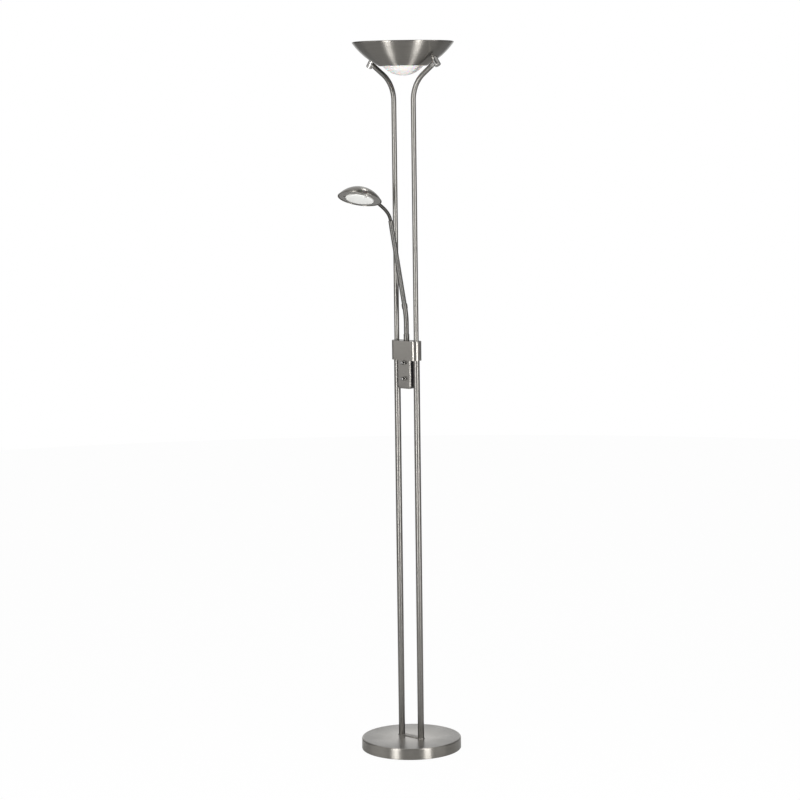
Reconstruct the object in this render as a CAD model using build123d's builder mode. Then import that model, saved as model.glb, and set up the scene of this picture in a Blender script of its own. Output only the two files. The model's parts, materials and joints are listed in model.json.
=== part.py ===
"""Torchiere floor lamp: two poles carry an uplighter bowl, and a flexible arm a reading light.

Millimetres. +Z is up and the origin is the middle of the base's underside. The two poles
stand on the X axis, and the dimmer knobs face -Y.
"""

import os
from math import atan2, cos, radians, sin, sqrt, tan

from build123d import *

os.makedirs("parts", exist_ok=True)

# ---------------------------------------------------------------- driving dimensions

# clearances
press_gap = 0.05        # radial gap of a piece pushed or screwed into another
slip_gap = 0.3          # gap between curved faces that only stand side by side

# base
base_diameter = 255.0
base_height = 28.5
base_sheet = 1.2
base_edge_radius = 3.5
base_stand = 1.0        # the cover's hem stands this far above the floor
hem_width = 5.0
weight_web = 12.0
weight_boss_diameter = 112.0
weight_pocket_depth = 12.0
weight_pocket_diameter = 26.0
foot_plate_thickness = 1.3
foot_plate_margin = 2.0
foot_plate_edge = 0.3
cord_bore = 6.5
cord_bushing_diameter = 10.0
cord_bushing_flange = 14.0
cord_bushing_height = 9.0
cord_bushing_lip = 3.0      # the flange stands this far out of the cover
cord_bushing_hold = 3.0     # and the sleeve reaches this far behind the sheet
cord_bushing_edge = 0.8

# poles
pole_spacing = 65.0
lower_pole_diameter = 16.0
lower_pole_wall = 1.0
upper_pole_diameter = 12.7
upper_pole_wall = 0.9
pole_bend_radius = 88.0
pole_bend_angle = 58.0      # lean of the pole's end, which is square to the pin in the barrel
connector_length = 16.0
spigot_length = 18.0
coupler_shoulder = 4.0
nipple_diameter = 9.9
nipple_bore = 7.0
nipple_tail = 1.5           # the nipple comes this far out of its nut
nipple_relief = 2.0         # and ends this far below the plug's top
nut_thickness = 5.0
nut_across_flats = 17.0
washer_diameter = 20.0
washer_thickness = 1.6

# barrels that hold the bowl
barrel_diameter = 16.0
barrel_length = 24.0
barrel_edge = 1.0
barrel_floor = 2.0          # closed end below the pin
pin_diameter = 6.0
pin_bore = 3.0
pin_height = 26.5           # the pin meets the bowl's wall this far above the bowl's foot
pin_exposed = 6.55
pin_tail = 1.0              # the pin comes this far out of its nut
bowl_nut_across_flats = 10.0
bowl_nut_thickness = 4.0

# uplighter bowl
lamp_height = 1800.0
bowl_rim_radius = 126.5
bowl_depth = 60.0
bowl_foot_radius = 60.0
bowl_sagitta = 7.9      # how far the side swells out from the chord of its section
bowl_sheet = 1.2
bowl_lip = 3.0
bowl_opening_radius = 52.0
glass_flange_radius = 57.0
glass_thickness = 3.0
glass_drop = 24.0       # the glass hangs this far below the bowl's foot
bracket_width = 16.0
bracket_sheet = 1.5
bracket_floor = 16.0    # height of the strap above the bowl's foot
lampholder_height = 24.0
lampholder_width = 14.0
lampholder_depth = 11.0
lampholder_corner = 1.5
tube_lamp_length = 118.0
tube_lamp_diameter = 10.0
tube_lamp_cap_diameter = 7.0
tube_lamp_cap_length = 12.0
tube_lamp_shoulder = 2.0
tube_lamp_rise = 16.0   # lamp axis above the strap

# collar round the poles
collar_bottom = 1004.0
collar_height = 49.0
collar_length = 88.4
collar_depth = 32.2
collar_sheet = 1.5
collar_cap_thickness = 2.0
collar_cap_recess = 0.6
grub_diameter = 4.0

# dimmer box under the collar
box_width = 42.6
box_depth = 23.6
box_height = 72.5
box_wall = 1.5
box_corner_radius = 8.0
face_depth = 3.6        # how far the metal face wraps round the box
face_edge_radius = 3.0
knob_pitch = 40.2
knob_drop = 6.4         # upper knob's axis below the collar
knob_diameter = 9.6
knob_length = 8.6
knob_edge = 1.6
knob_neck = 0.6             # the knob's foot is this much thinner all round
knob_neck_length = 1.2
knob_gap = 0.4
dimmer_width = 9.6
dimmer_above = 3.3
dimmer_below = 10.7
dimmer_depth = 6.4
dimmer_bush_diameter = 7.0
ring_nut_diameter = 11.0
ring_nut_thickness = 2.2
ring_nut_edge = 0.5
shaft_diameter = 4.0
box_screw_diameter = 3.0
box_screw_head = 5.5
box_screw_length = 7.0
box_screw_spacing = 28.0
box_screw_taper = 0.6
screw_post_wall = 1.0

# reading arm
arm_turn = 15.0             # plan angle of the arm's plane from -Y towards -X
arm_tilt = 10.2             # lean of the flexible part from upright
arm_tube_diameter = 12.6
arm_tube_wall = 1.0
arm_upright = 42.0          # straight part of the lower tube above the collar
arm_bend_radius = 230.0
arm_tube_straight = 6.5     # last straight part of the lower tube
stem_tail = 3.0             # the stem comes this far out of its nut
base_ferrule_diameter = 14.6
base_ferrule_length = 17.0
base_ferrule_edge = 0.6
lower_ferrule_diameter = 14.6
lower_ferrule_length = 13.0
lower_ferrule_cover = 8.0   # how far the ferrule goes over the tube's end
lower_ferrule_edge = 1.2

# flexible hose
link_count = 7
link_pitch = 28.4
link_swing = 15.0           # how far each joint can turn to either side
hose_diameter = 12.6
hose_groove = 0.8
hose_ribs = 8               # ribs on each link
ball_radius = 4.4
ball_neck = 2.6
ball_bore = 1.5
ball_play = 0.1             # the socket is this much wider than the ball all round
bore_taper = 6.5            # the wide bore narrows this far below the next ball
hose_bore = 3.6
socket_depth = 3.0
link_gap = 0.3
upper_ferrule_diameter = 11.6
upper_ferrule_length = 14.0
upper_ferrule_hold = 5.5    # how far the thin tube goes into the ferrule
upper_ferrule_foot_edge = 0.5
upper_ferrule_top_edge = 0.8

# thin tube up to the reading head
thin_tube_diameter = 8.6
thin_tube_wall = 0.8
thin_bend_radius = 45.0
thin_bend_angle = 30.0
thin_sweep_radius = 90.0
thin_sweep_angle = 12.0
thin_tube_end = 43.0        # last straight part, which ends in the lampholder

# reading head
head_reach = 33.0           # from the thin tube's end to the middle of the rim, in plan
head_drop = 3.5             # the middle of the rim lies this far below the tube's end
head_pitch = 18.0           # the far side of the rim is raised by this angle
head_roll = 11.3            # and its left side by this one
head_radius = 55.0
head_depth = 29.5
head_sheet = 1.0
head_lip = 1.6
bezel_sheet = 1.2
bezel_recess = 0.3
bezel_opening = 31.0
head_glass_radius = 35.3
head_glass_thickness = 3.0
head_glass_edge = 0.5
clip_count = 3
clip_width = 5.0
clip_sheet = 0.8
clip_overlap = 2.5
clip_foot = 5.5
clip_start = 25.0
holder_length = 18.0
holder_width = 15.0
holder_height = 10.5
holder_corner = 2.0
holder_reach = 24.0         # middle of the lampholder from the head's axis
holder_rise = 12.2          # and above the rim
set_screw_diameter = 3.0
capsule_diameter = 11.0
capsule_length = 30.0
capsule_base_edge = 1.5
capsule_base_length = 3.0

# ---------------------------------------------------------------- derived places

up = Vector(0, 0, 1)
pole_x = pole_spacing / 2
pole_foot = base_height + foot_plate_thickness
collar_top = collar_bottom + collar_height
box_bottom = collar_bottom - box_height
box_front = -box_depth / 2
face_back = box_front + face_depth
upper_knob_z = collar_bottom - knob_drop
lower_knob_z = upper_knob_z - knob_pitch
bowl_foot = lamp_height - bowl_depth

side_chord = Vector(bowl_rim_radius - bowl_foot_radius, bowl_depth)
chord_middle = Vector((bowl_rim_radius + bowl_foot_radius) / 2, bowl_foot + bowl_depth / 2)
swell = Vector(side_chord.Y, -side_chord.X).normalized() * bowl_sagitta
side_middle = chord_middle + swell
chord_half = side_chord.length / 2
side_radius = (chord_half**2 + bowl_sagitta**2) / (2 * bowl_sagitta)
side_centre = side_middle - swell.normalized() * side_radius


def side_point(height, inset):
    """Point of the bowl's section at a height, on the outer arc moved inwards by inset."""
    reach = side_radius - inset
    return (side_centre.X + sqrt(reach**2 - (height - side_centre.Y) ** 2), height)


pole_lean = radians(pole_bend_angle)
pin_meets_wall = side_point(bowl_foot + pin_height, 0)
barrel_half = barrel_length / 2
pin_reach_out = pin_exposed + barrel_half
barrel_x = pin_meets_wall[0] + pin_reach_out * cos(pole_lean)
barrel_z = pin_meets_wall[1] - pin_reach_out * sin(pole_lean)
bend_reach = pole_bend_radius * (1 - cos(pole_lean))
pole_end = (barrel_x - pole_x - bend_reach) / sin(pole_lean)
pole_straight_end = pole_end - connector_length
pole_bend_start = barrel_z - pole_bend_radius * sin(pole_lean) - pole_end * cos(pole_lean)

arm_out = Vector(-sin(radians(arm_turn)), -cos(radians(arm_turn)), 0)
arm_side = up.cross(arm_out)
hose_axis = arm_out * sin(radians(arm_tilt)) + up * cos(radians(arm_tilt))
head_crown = (
    arm_out * (-sin(radians(head_pitch)) * cos(radians(head_roll)))
    + arm_side * -sin(radians(head_roll))
    + up * (cos(radians(head_pitch)) * cos(radians(head_roll)))
)


def turning_plane(origin, axis):
    """Plane of a turned outline: local X is the radius, and local Y runs along the axis."""
    axis = Vector(*axis).normalized()
    helper = Vector(1, 0, 0) if abs(axis.Y) > 0.9 else Vector(0, 1, 0)
    radial = helper.cross(axis).normalized()
    return Plane(origin=origin, x_dir=radial, z_dir=radial.cross(axis))


def turned(outline, plane):
    """Solid made by turning an outline of (radius, height) points round the plane's Y axis."""
    with BuildPart() as piece:
        with BuildSketch(plane):
            with BuildLine():
                Polyline(outline, close=True)
            make_face()
        revolve(axis=Axis(plane.origin, plane.y_dir))
    return piece


# ---------------------------------------------------------------- base

base_radius = base_diameter / 2
hem_top = base_stand + base_sheet
pole_places = [(-pole_x, 0), (pole_x, 0)]

with BuildPart() as base_cover:
    with BuildSketch(Plane.XZ):
        with BuildLine():
            Polyline(
                (0, base_height),
                (base_radius, base_height),
                (base_radius, base_stand),
                (base_radius - hem_width, base_stand),
                (base_radius - hem_width, hem_top),
                (base_radius - base_sheet, hem_top),
                (base_radius - base_sheet, base_height - base_sheet),
                (0, base_height - base_sheet),
                close=True,
            )
        make_face()
    revolve(axis=Axis.Z)
    outer_edge = base_cover.edges().filter_by(GeomType.CIRCLE).sort_by(SortBy.RADIUS)[-2:]
    fillet(outer_edge.sort_by(Axis.Z)[-1], radius=base_edge_radius)
    inner_edge = base_cover.edges().filter_by_position(
        Axis.Z, base_height - base_sheet - 0.01, base_height - base_sheet + 0.01
    )
    fillet(inner_edge, radius=base_edge_radius - base_sheet)
    with Locations(Plane.XY.offset(base_height)):
        with Locations(*pole_places):
            Hole(radius=nipple_diameter / 2 + slip_gap, depth=2 * base_sheet)
    with BuildSketch(Plane.XZ.offset(-base_radius)):
        with Locations((0, cord_bushing_height)):
            Circle(cord_bushing_diameter / 2 + press_gap)
    extrude(amount=2 * base_sheet, both=True, mode=Mode.SUBTRACT)
base_cover.part.label = "base_cover"
export_step(base_cover.part, "parts/base_cover.step")

weight_radius = base_radius - base_sheet - slip_gap
boss_top = base_height - base_sheet
pocket_top = hem_top + weight_pocket_depth
groove_width = cord_bushing_diameter + 2 * slip_gap
groove_top = cord_bushing_height + groove_width / 2

with BuildPart() as base_weight:
    with BuildSketch(Plane.XY.offset(hem_top)):
        Circle(weight_radius)
    extrude(amount=weight_web)
    with BuildSketch(Plane.XY.offset(hem_top)):
        Circle(weight_boss_diameter / 2)
    extrude(amount=boss_top - hem_top)
    rim = base_weight.edges().filter_by(GeomType.CIRCLE).sort_by(SortBy.RADIUS)[-2:]
    chamfer(rim, length=base_sheet)
    with BuildSketch(Plane.XY.offset(hem_top)):
        with Locations(*pole_places):
            Circle(weight_pocket_diameter / 2)
    extrude(amount=weight_pocket_depth, mode=Mode.SUBTRACT)
    with BuildSketch(Plane.XY.offset(hem_top)):
        with Locations(*pole_places):
            Circle(nipple_diameter / 2 + slip_gap)
    extrude(amount=boss_top, mode=Mode.SUBTRACT)
    with BuildSketch(Plane.XY.offset(hem_top)):
        with Locations((0, base_radius / 2)):
            Rectangle(groove_width, base_radius)
        Rectangle(pole_spacing, groove_width)
    extrude(amount=groove_top - hem_top, mode=Mode.SUBTRACT)
base_weight.part.label = "base_weight"
export_step(base_weight.part, "parts/base_weight.step")

with BuildPart() as base_pad:
    with BuildSketch():
        Circle(base_radius - hem_width - slip_gap)
    extrude(amount=hem_top)
    chamfer(base_pad.edges().group_by(Axis.Z)[0], length=base_stand / 2)
base_pad.part.label = "base_pad"
export_step(base_pad.part, "parts/base_pad.step")

sleeve_end = -base_sheet - cord_bushing_hold
lip_shoulder = cord_bushing_lip - cord_bushing_edge
cord_bushing = turned(
    [
        (cord_bore / 2, sleeve_end),
        (cord_bushing_diameter / 2, sleeve_end),
        (cord_bushing_diameter / 2, 0),
        (cord_bushing_flange / 2, slip_gap),
        (cord_bushing_flange / 2 - cord_bushing_edge, lip_shoulder),
        (cord_bore / 2 + cord_bushing_edge, cord_bushing_lip),
        (cord_bore / 2, lip_shoulder),
    ],
    turning_plane((0, base_radius, cord_bushing_height), (0, 1, 0)),
)
cord_bushing.part.label = "cord_bushing"
export_step(cord_bushing.part, "parts/cord_bushing.step")

with BuildPart() as foot_plate:
    with BuildSketch(Plane.XY.offset(base_height)):
        SlotCenterToCenter(pole_spacing, lower_pole_diameter + 2 * foot_plate_margin)
        with Locations(*pole_places):
            Circle(nipple_diameter / 2 + slip_gap, mode=Mode.SUBTRACT)
    extrude(amount=foot_plate_thickness)
    chamfer(foot_plate.edges().group_by(Axis.Z)[-1].filter_by(GeomType.LINE), length=foot_plate_edge)
foot_plate.part.label = "foot_plate"
export_step(foot_plate.part, "parts/foot_plate.step")

washer_top = pocket_top
nut_top = washer_top - washer_thickness
nipple_bottom = nut_top - nut_thickness - nipple_tail
nipple_top = pole_foot + spigot_length - nipple_relief

with BuildPart() as pole_nipples:
    with BuildSketch(Plane.XY.offset(nipple_bottom)):
        with Locations(*pole_places):
            Circle(nipple_diameter / 2)
            Circle(nipple_bore / 2, mode=Mode.SUBTRACT)
    extrude(amount=nipple_top - nipple_bottom)
pole_nipples.part.label = "pole_nipples"
export_step(pole_nipples.part, "parts/pole_nipples.step")

with BuildPart() as base_washers:
    with BuildSketch(Plane.XY.offset(nut_top)):
        with Locations(*pole_places):
            Circle(washer_diameter / 2)
            Circle(nipple_diameter / 2 + slip_gap, mode=Mode.SUBTRACT)
    extrude(amount=washer_thickness)
base_washers.part.label = "base_washers"
export_step(base_washers.part, "parts/base_washers.step")

with BuildPart() as base_nuts:
    with BuildSketch(Plane.XY.offset(nut_top - nut_thickness)):
        with Locations(*pole_places):
            RegularPolygon(nut_across_flats / 2, 6, major_radius=False)
            Circle(nipple_diameter / 2 + press_gap, mode=Mode.SUBTRACT)
    extrude(amount=nut_thickness)
base_nuts.part.label = "base_nuts"
export_step(base_nuts.part, "parts/base_nuts.step")

# ---------------------------------------------------------------- poles

lower_bore = lower_pole_diameter / 2 - lower_pole_wall
upper_bore = upper_pole_diameter / 2 - upper_pole_wall
coupler_z = collar_bottom + collar_height / 2 - coupler_shoulder

with BuildPart() as pole_plugs:
    with BuildSketch(Plane.XY.offset(pole_foot)):
        with Locations(*pole_places):
            Circle(lower_bore - press_gap)
            Circle(nipple_diameter / 2 + press_gap, mode=Mode.SUBTRACT)
    extrude(amount=spigot_length)
pole_plugs.part.label = "pole_plugs"
export_step(pole_plugs.part, "parts/pole_plugs.step")

with BuildPart() as pole_couplers:
    for side in (-1, 1):
        with BuildSketch(turning_plane((side * pole_x, 0, coupler_z), up)):
            with BuildLine():
                Polyline(
                    (nipple_bore / 2, -spigot_length),
                    (lower_bore - press_gap, -spigot_length),
                    (lower_bore - press_gap, 0),
                    (lower_pole_diameter / 2, 0),
                    (lower_pole_diameter / 2, coupler_shoulder),
                    (upper_bore - press_gap, coupler_shoulder),
                    (upper_bore - press_gap, coupler_shoulder + spigot_length),
                    (nipple_bore / 2, coupler_shoulder + spigot_length),
                    close=True,
                )
            make_face()
        revolve(axis=Axis((side * pole_x, 0, 0), up))
pole_couplers.part.label = "pole_couplers"
export_step(pole_couplers.part, "parts/pole_couplers.step")


def bend_point(side, lean):
    """Point of the upper pole's bend where it leans by an angle, in radians."""
    outward = pole_x + pole_bend_radius * (1 - cos(lean))
    return Vector(side * outward, 0, pole_bend_start + pole_bend_radius * sin(lean))


def end_direction(side):
    """Direction of the upper pole's end beyond the bend."""
    return Vector(side * sin(pole_lean), 0, cos(pole_lean))


upper_pole_foot = coupler_z + coupler_shoulder

for side, name in ((-1, "left"), (1, "right")):
    with BuildPart() as lower_pole:
        with BuildSketch(Plane.XY.offset(pole_foot)):
            with Locations((side * pole_x, 0)):
                Circle(lower_pole_diameter / 2)
                Circle(lower_bore, mode=Mode.SUBTRACT)
        extrude(amount=coupler_z - pole_foot)
    lower_pole.part.label = f"{name}_lower_pole"
    export_step(lower_pole.part, f"parts/{name}_lower_pole.step")

    with BuildPart() as upper_pole:
        with BuildLine():
            bend_end = bend_point(side, pole_lean)
            Line((side * pole_x, 0, upper_pole_foot), bend_point(side, 0))
            ThreePointArc(bend_point(side, 0), bend_point(side, pole_lean / 2), bend_end)
            Line(bend_end, bend_end + end_direction(side) * pole_straight_end)
        with BuildSketch(Plane.XY.offset(upper_pole_foot)):
            with Locations((side * pole_x, 0)):
                Circle(upper_pole_diameter / 2)
                Circle(upper_bore, mode=Mode.SUBTRACT)
        sweep()
    upper_pole.part.label = f"{name}_upper_pole"
    export_step(upper_pole.part, f"parts/{name}_upper_pole.step")

# ---------------------------------------------------------------- barrels, pins and nuts

def barrel_frame(side):
    """Centre of a barrel, and the direction of its pin up into the bowl's wall."""
    return Vector(side * barrel_x, 0, barrel_z), Vector(-side * cos(pole_lean), 0, sin(pole_lean))


def wall_distance(along):
    """Distance from the barrel's middle to the wall's inside, on a line beside the pin."""
    centre, pin_direction = barrel_frame(1)
    start = centre + end_direction(1) * along
    to_centre = Vector(side_centre.X, 0, side_centre.Y) - start
    middle = to_centre.dot(pin_direction)
    inner_radius = side_radius - bowl_sheet
    return middle - sqrt(inner_radius**2 - to_centre.dot(to_centre) + middle**2)


bracket_half = bracket_width / 2
bracket_reach = max(wall_distance(-bracket_half), wall_distance(bracket_half)) + slip_gap
nut_reach = bracket_reach + bracket_sheet
pin_reach = nut_reach + bowl_nut_thickness + pin_tail
pin_seat = barrel_half - barrel_floor


with BuildPart() as pole_connectors:
    for side in (-1, 1):
        direction = end_direction(side)
        centre, pin_direction = barrel_frame(side)
        tube_end = bend_point(side, pole_lean) + direction * pole_straight_end
        with BuildSketch(turning_plane(tube_end, direction)):
            with BuildLine():
                Polyline(
                    (nipple_bore / 4, -spigot_length),
                    (upper_bore - press_gap, -spigot_length),
                    (upper_bore - press_gap, 0),
                    (upper_pole_diameter / 2, 0),
                    (upper_pole_diameter / 2, connector_length),
                    (nipple_bore / 4, connector_length),
                    close=True,
                )
            make_face()
        revolve(axis=Axis(tube_end, direction))
        with BuildSketch(Plane(origin=centre, z_dir=pin_direction)):
            Circle(barrel_diameter / 2 + press_gap)
        extrude(amount=barrel_length, both=True, mode=Mode.SUBTRACT)
pole_connectors.part.label = "pole_connectors"
export_step(pole_connectors.part, "parts/pole_connectors.step")

with BuildPart() as bowl_barrels:
    for side in (-1, 1):
        centre, pin_direction = barrel_frame(side)
        with BuildSketch(turning_plane(centre, pin_direction)):
            with BuildLine():
                Polyline(
                    (pin_diameter / 2 + press_gap, -pin_seat),
                    (0, -pin_seat),
                    (0, -barrel_half),
                    (barrel_diameter / 2 - barrel_edge, -barrel_half),
                    (barrel_diameter / 2, -barrel_half + barrel_edge),
                    (barrel_diameter / 2, barrel_half - barrel_edge),
                    (barrel_diameter / 2 - barrel_edge, barrel_half),
                    (pin_diameter / 2 + press_gap, barrel_half),
                    close=True,
                )
            make_face()
        revolve(axis=Axis(centre, pin_direction))
bowl_barrels.part.label = "bowl_barrels"
export_step(bowl_barrels.part, "parts/bowl_barrels.step")

with BuildPart() as bowl_pins:
    for side in (-1, 1):
        centre, pin_direction = barrel_frame(side)
        pin_foot = centre - pin_direction * pin_seat
        with BuildSketch(Plane(origin=pin_foot, z_dir=pin_direction)):
            Circle(pin_diameter / 2)
            Circle(pin_bore / 2, mode=Mode.SUBTRACT)
        extrude(amount=pin_seat + pin_reach)
bowl_pins.part.label = "bowl_pins"
export_step(bowl_pins.part, "parts/bowl_pins.step")

# ---------------------------------------------------------------- uplighter bowl

lip_height = lamp_height - bowl_lip / 2
foot_inside = bowl_foot + bowl_sheet
middle_height = bowl_foot + bowl_depth / 2

with BuildPart() as bowl_shell:
    with BuildSketch(Plane.XZ):
        with BuildLine():
            outer_top = side_point(lip_height, 0)
            inner_top = side_point(lip_height, bowl_sheet)
            ThreePointArc((bowl_foot_radius, bowl_foot), side_point(middle_height, 0), outer_top)
            Line(outer_top, inner_top)
            inner_foot = side_point(foot_inside, bowl_sheet)
            ThreePointArc(inner_top, side_point(middle_height, bowl_sheet), inner_foot)
            Polyline(
                inner_foot,
                (bowl_opening_radius, foot_inside),
                (bowl_opening_radius, bowl_foot),
                (bowl_foot_radius, bowl_foot),
            )
        make_face()
    revolve(axis=Axis.Z)
    with BuildSketch(Plane.XZ):
        with Locations((outer_top[0] - bowl_sheet / 2, lip_height)):
            Circle(bowl_lip / 2)
    revolve(axis=Axis.Z)
    for side in (-1, 1):
        centre, pin_direction = barrel_frame(side)
        with BuildSketch(Plane(origin=centre, z_dir=pin_direction)):
            Circle(pin_diameter / 2 + slip_gap)
        extrude(amount=pin_reach, mode=Mode.SUBTRACT)
bowl_shell.part.label = "bowl_shell"
export_step(bowl_shell.part, "parts/bowl_shell.step")

with BuildPart() as bowl_nuts:
    for side in (-1, 1):
        centre, pin_direction = barrel_frame(side)
        seat = centre + pin_direction * nut_reach
        with BuildSketch(Plane(origin=seat, z_dir=pin_direction)):
            RegularPolygon(bowl_nut_across_flats / 2, 6, major_radius=False)
            Circle(pin_diameter / 2 + press_gap, mode=Mode.SUBTRACT)
        extrude(amount=bowl_nut_thickness)
bowl_nuts.part.label = "bowl_nuts"
export_step(bowl_nuts.part, "parts/bowl_nuts.step")

glass_neck_radius = bowl_opening_radius - 2 * slip_gap
glass_radius = (glass_neck_radius**2 + glass_drop**2) / (2 * glass_drop)
glass_bottom = bowl_foot - glass_drop
glass_centre_z = glass_bottom + glass_radius
flange_bottom = foot_inside
flange_top = flange_bottom + glass_thickness


def cap_point(radius, angle):
    """Point of the glass's section on a sphere of the radius, at an angle from the bottom."""
    return (radius * sin(angle), glass_centre_z - radius * cos(angle))


neck_angle = atan2(glass_neck_radius, glass_radius - glass_drop)
with BuildPart() as bowl_glass:
    with BuildSketch(Plane.XZ):
        with BuildLine():
            glass_inner = glass_radius - glass_thickness
            neck = cap_point(glass_radius, neck_angle)
            inner_neck = cap_point(glass_inner, neck_angle)
            ThreePointArc((0, glass_bottom), cap_point(glass_radius, neck_angle / 2), neck)
            Polyline(
                neck,
                (neck[0], flange_bottom),
                (glass_flange_radius, flange_bottom),
                (glass_flange_radius, flange_top),
                (inner_neck[0], flange_top),
                inner_neck,
            )
            ThreePointArc(
                inner_neck,
                cap_point(glass_inner, neck_angle / 2),
                (0, glass_bottom + glass_thickness),
            )
            Line((0, glass_bottom + glass_thickness), (0, glass_bottom))
        make_face()
    revolve(axis=Axis.Z)
bowl_glass.part.label = "bowl_glass"
export_step(bowl_glass.part, "parts/bowl_glass.step")

strap_z = bowl_foot + bracket_floor
barrel_centre, right_pin = barrel_frame(1)
ear_middle = barrel_centre + right_pin * bracket_reach
ear_slope = end_direction(1)
strap_knee = ear_middle + ear_slope * ((strap_z - ear_middle.Z) / ear_slope.Z)
strap_tip = ear_middle + ear_slope * bracket_half

with BuildPart() as lamp_bracket:
    with BuildSketch(Plane.XZ.offset(-bracket_half)):
        with BuildLine():
            strap_line = Polyline(
                (-strap_tip.X, strap_tip.Z),
                (-strap_knee.X, strap_z),
                (strap_knee.X, strap_z),
                (strap_tip.X, strap_tip.Z),
            )
            offset(strap_line, bracket_sheet, side=Side.LEFT, kind=Kind.INTERSECTION)
        make_face()
    extrude(amount=bracket_width)
    for side in (-1, 1):
        centre, pin_direction = barrel_frame(side)
        with BuildSketch(Plane(origin=centre, z_dir=pin_direction)):
            Circle(pin_diameter / 2 + slip_gap)
        extrude(amount=pin_reach, mode=Mode.SUBTRACT)
lamp_bracket.part.label = "lamp_bracket"
export_step(lamp_bracket.part, "parts/lamp_bracket.step")

strap_top = strap_z + bracket_sheet
tube_lamp_z = strap_top + tube_lamp_rise
holder_face = tube_lamp_length / 2 - tube_lamp_cap_length / 2
with BuildPart() as lampholders:
    for side in (-1, 1):
        with BuildSketch(Plane.XY.offset(strap_top)):
            with Locations((side * (holder_face + lampholder_depth / 2), 0)):
                Rectangle(lampholder_depth, lampholder_width)
        extrude(amount=lampholder_height)
    uprights = lampholders.edges().filter_by(Axis.Z)
    fillet(uprights, radius=lampholder_corner)
    with BuildSketch(Plane.YZ):
        with Locations((0, tube_lamp_z)):
            Circle(tube_lamp_cap_diameter / 2 + slip_gap)
    extrude(amount=tube_lamp_length / 2 + slip_gap, both=True, mode=Mode.SUBTRACT)
lampholders.part.label = "lampholders"
export_step(lampholders.part, "parts/lampholders.step")

half_lamp = tube_lamp_length / 2
half_glass = half_lamp - tube_lamp_cap_length
tube_lamp = turned(
    [
        (0, -half_lamp),
        (tube_lamp_cap_diameter / 2, -half_lamp),
        (tube_lamp_cap_diameter / 2, -half_glass),
        (tube_lamp_diameter / 2, tube_lamp_shoulder - half_glass),
        (tube_lamp_diameter / 2, half_glass - tube_lamp_shoulder),
        (tube_lamp_cap_diameter / 2, half_glass),
        (tube_lamp_cap_diameter / 2, half_lamp),
        (0, half_lamp),
    ],
    turning_plane((0, 0, tube_lamp_z), (1, 0, 0)),
)
tube_lamp.part.label = "tube_lamp"
export_step(tube_lamp.part, "parts/tube_lamp.step")

# ---------------------------------------------------------------- collar

collar_centres = collar_length - collar_depth
cap_depth = collar_depth - 2 * collar_sheet - 2 * press_gap
cap_top = collar_top - collar_cap_recess
cap_underside = cap_top - collar_cap_thickness
grub_z = collar_bottom + (coupler_z - collar_bottom) / 2

with BuildPart() as collar_shell:
    with BuildSketch(Plane.XY.offset(collar_bottom)):
        SlotCenterToCenter(collar_centres, collar_depth)
        SlotCenterToCenter(collar_centres, collar_depth - 2 * collar_sheet, mode=Mode.SUBTRACT)
    extrude(amount=collar_height)
    with BuildSketch(Plane.XZ.offset(-collar_depth / 2 - 1)):
        with Locations((-pole_x, grub_z), (pole_x, grub_z)):
            Circle(grub_diameter / 2 + press_gap)
    extrude(amount=collar_depth / 2, mode=Mode.SUBTRACT)
collar_shell.part.label = "collar_shell"
export_step(collar_shell.part, "parts/collar_shell.step")

with BuildPart() as collar_grub_screws:
    with BuildSketch(Plane.XZ.offset(-collar_depth / 2)):
        with Locations((-pole_x, grub_z), (pole_x, grub_z)):
            Circle(grub_diameter / 2)
    extrude(amount=collar_depth / 2 - lower_pole_diameter / 2 - press_gap)
    with BuildSketch(Plane.XZ.offset(-collar_depth / 2)):
        with Locations((-pole_x, grub_z), (pole_x, grub_z)):
            RegularPolygon(grub_diameter / 4, 6, major_radius=False)
    extrude(amount=grub_diameter / 2, mode=Mode.SUBTRACT)
collar_grub_screws.part.label = "collar_grub_screws"
export_step(collar_grub_screws.part, "parts/collar_grub_screws.step")

stem_radius = nipple_diameter / 2
with BuildPart() as collar_top_cap:
    with BuildSketch(Plane.XY.offset(cap_underside)):
        SlotCenterToCenter(collar_centres, cap_depth)
        with Locations(*pole_places):
            Circle(upper_pole_diameter / 2 + press_gap, mode=Mode.SUBTRACT)
        Circle(stem_radius + press_gap, mode=Mode.SUBTRACT)
    extrude(amount=collar_cap_thickness)
collar_top_cap.part.label = "collar_top_cap"
export_step(collar_top_cap.part, "parts/collar_top_cap.step")

box_screw_places = [(-box_screw_spacing / 2, 0), (box_screw_spacing / 2, 0)]
with BuildPart() as collar_bottom_cap:
    with BuildSketch(Plane.XY.offset(collar_bottom)):
        SlotCenterToCenter(collar_centres, cap_depth)
        with Locations(*pole_places):
            Circle(lower_pole_diameter / 2 + press_gap, mode=Mode.SUBTRACT)
        Circle(nipple_bore / 2, mode=Mode.SUBTRACT)
        with Locations(*box_screw_places):
            Circle(box_screw_diameter / 2 + press_gap, mode=Mode.SUBTRACT)
    extrude(amount=collar_cap_thickness)
collar_bottom_cap.part.label = "collar_bottom_cap"
export_step(collar_bottom_cap.part, "parts/collar_bottom_cap.step")

# ---------------------------------------------------------------- dimmer box

box_middle_z = collar_bottom - box_height / 2


def box_outline(inset):
    """Lines of the box's front view, drawn in by inset, with its two lower corners rounded."""
    half = box_width / 2 - inset
    top = collar_bottom - inset
    bottom = box_bottom + inset
    corner = box_corner_radius - inset
    turn = corner * (1 - sqrt(0.5))
    Polyline((-half, bottom + corner), (-half, top), (half, top), (half, bottom + corner))
    ThreePointArc((half, bottom + corner), (half - turn, bottom + turn), (half - corner, bottom))
    Line((half - corner, bottom), (corner - half, bottom))
    ThreePointArc((corner - half, bottom), (turn - half, bottom + turn), (-half, bottom + corner))


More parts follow.
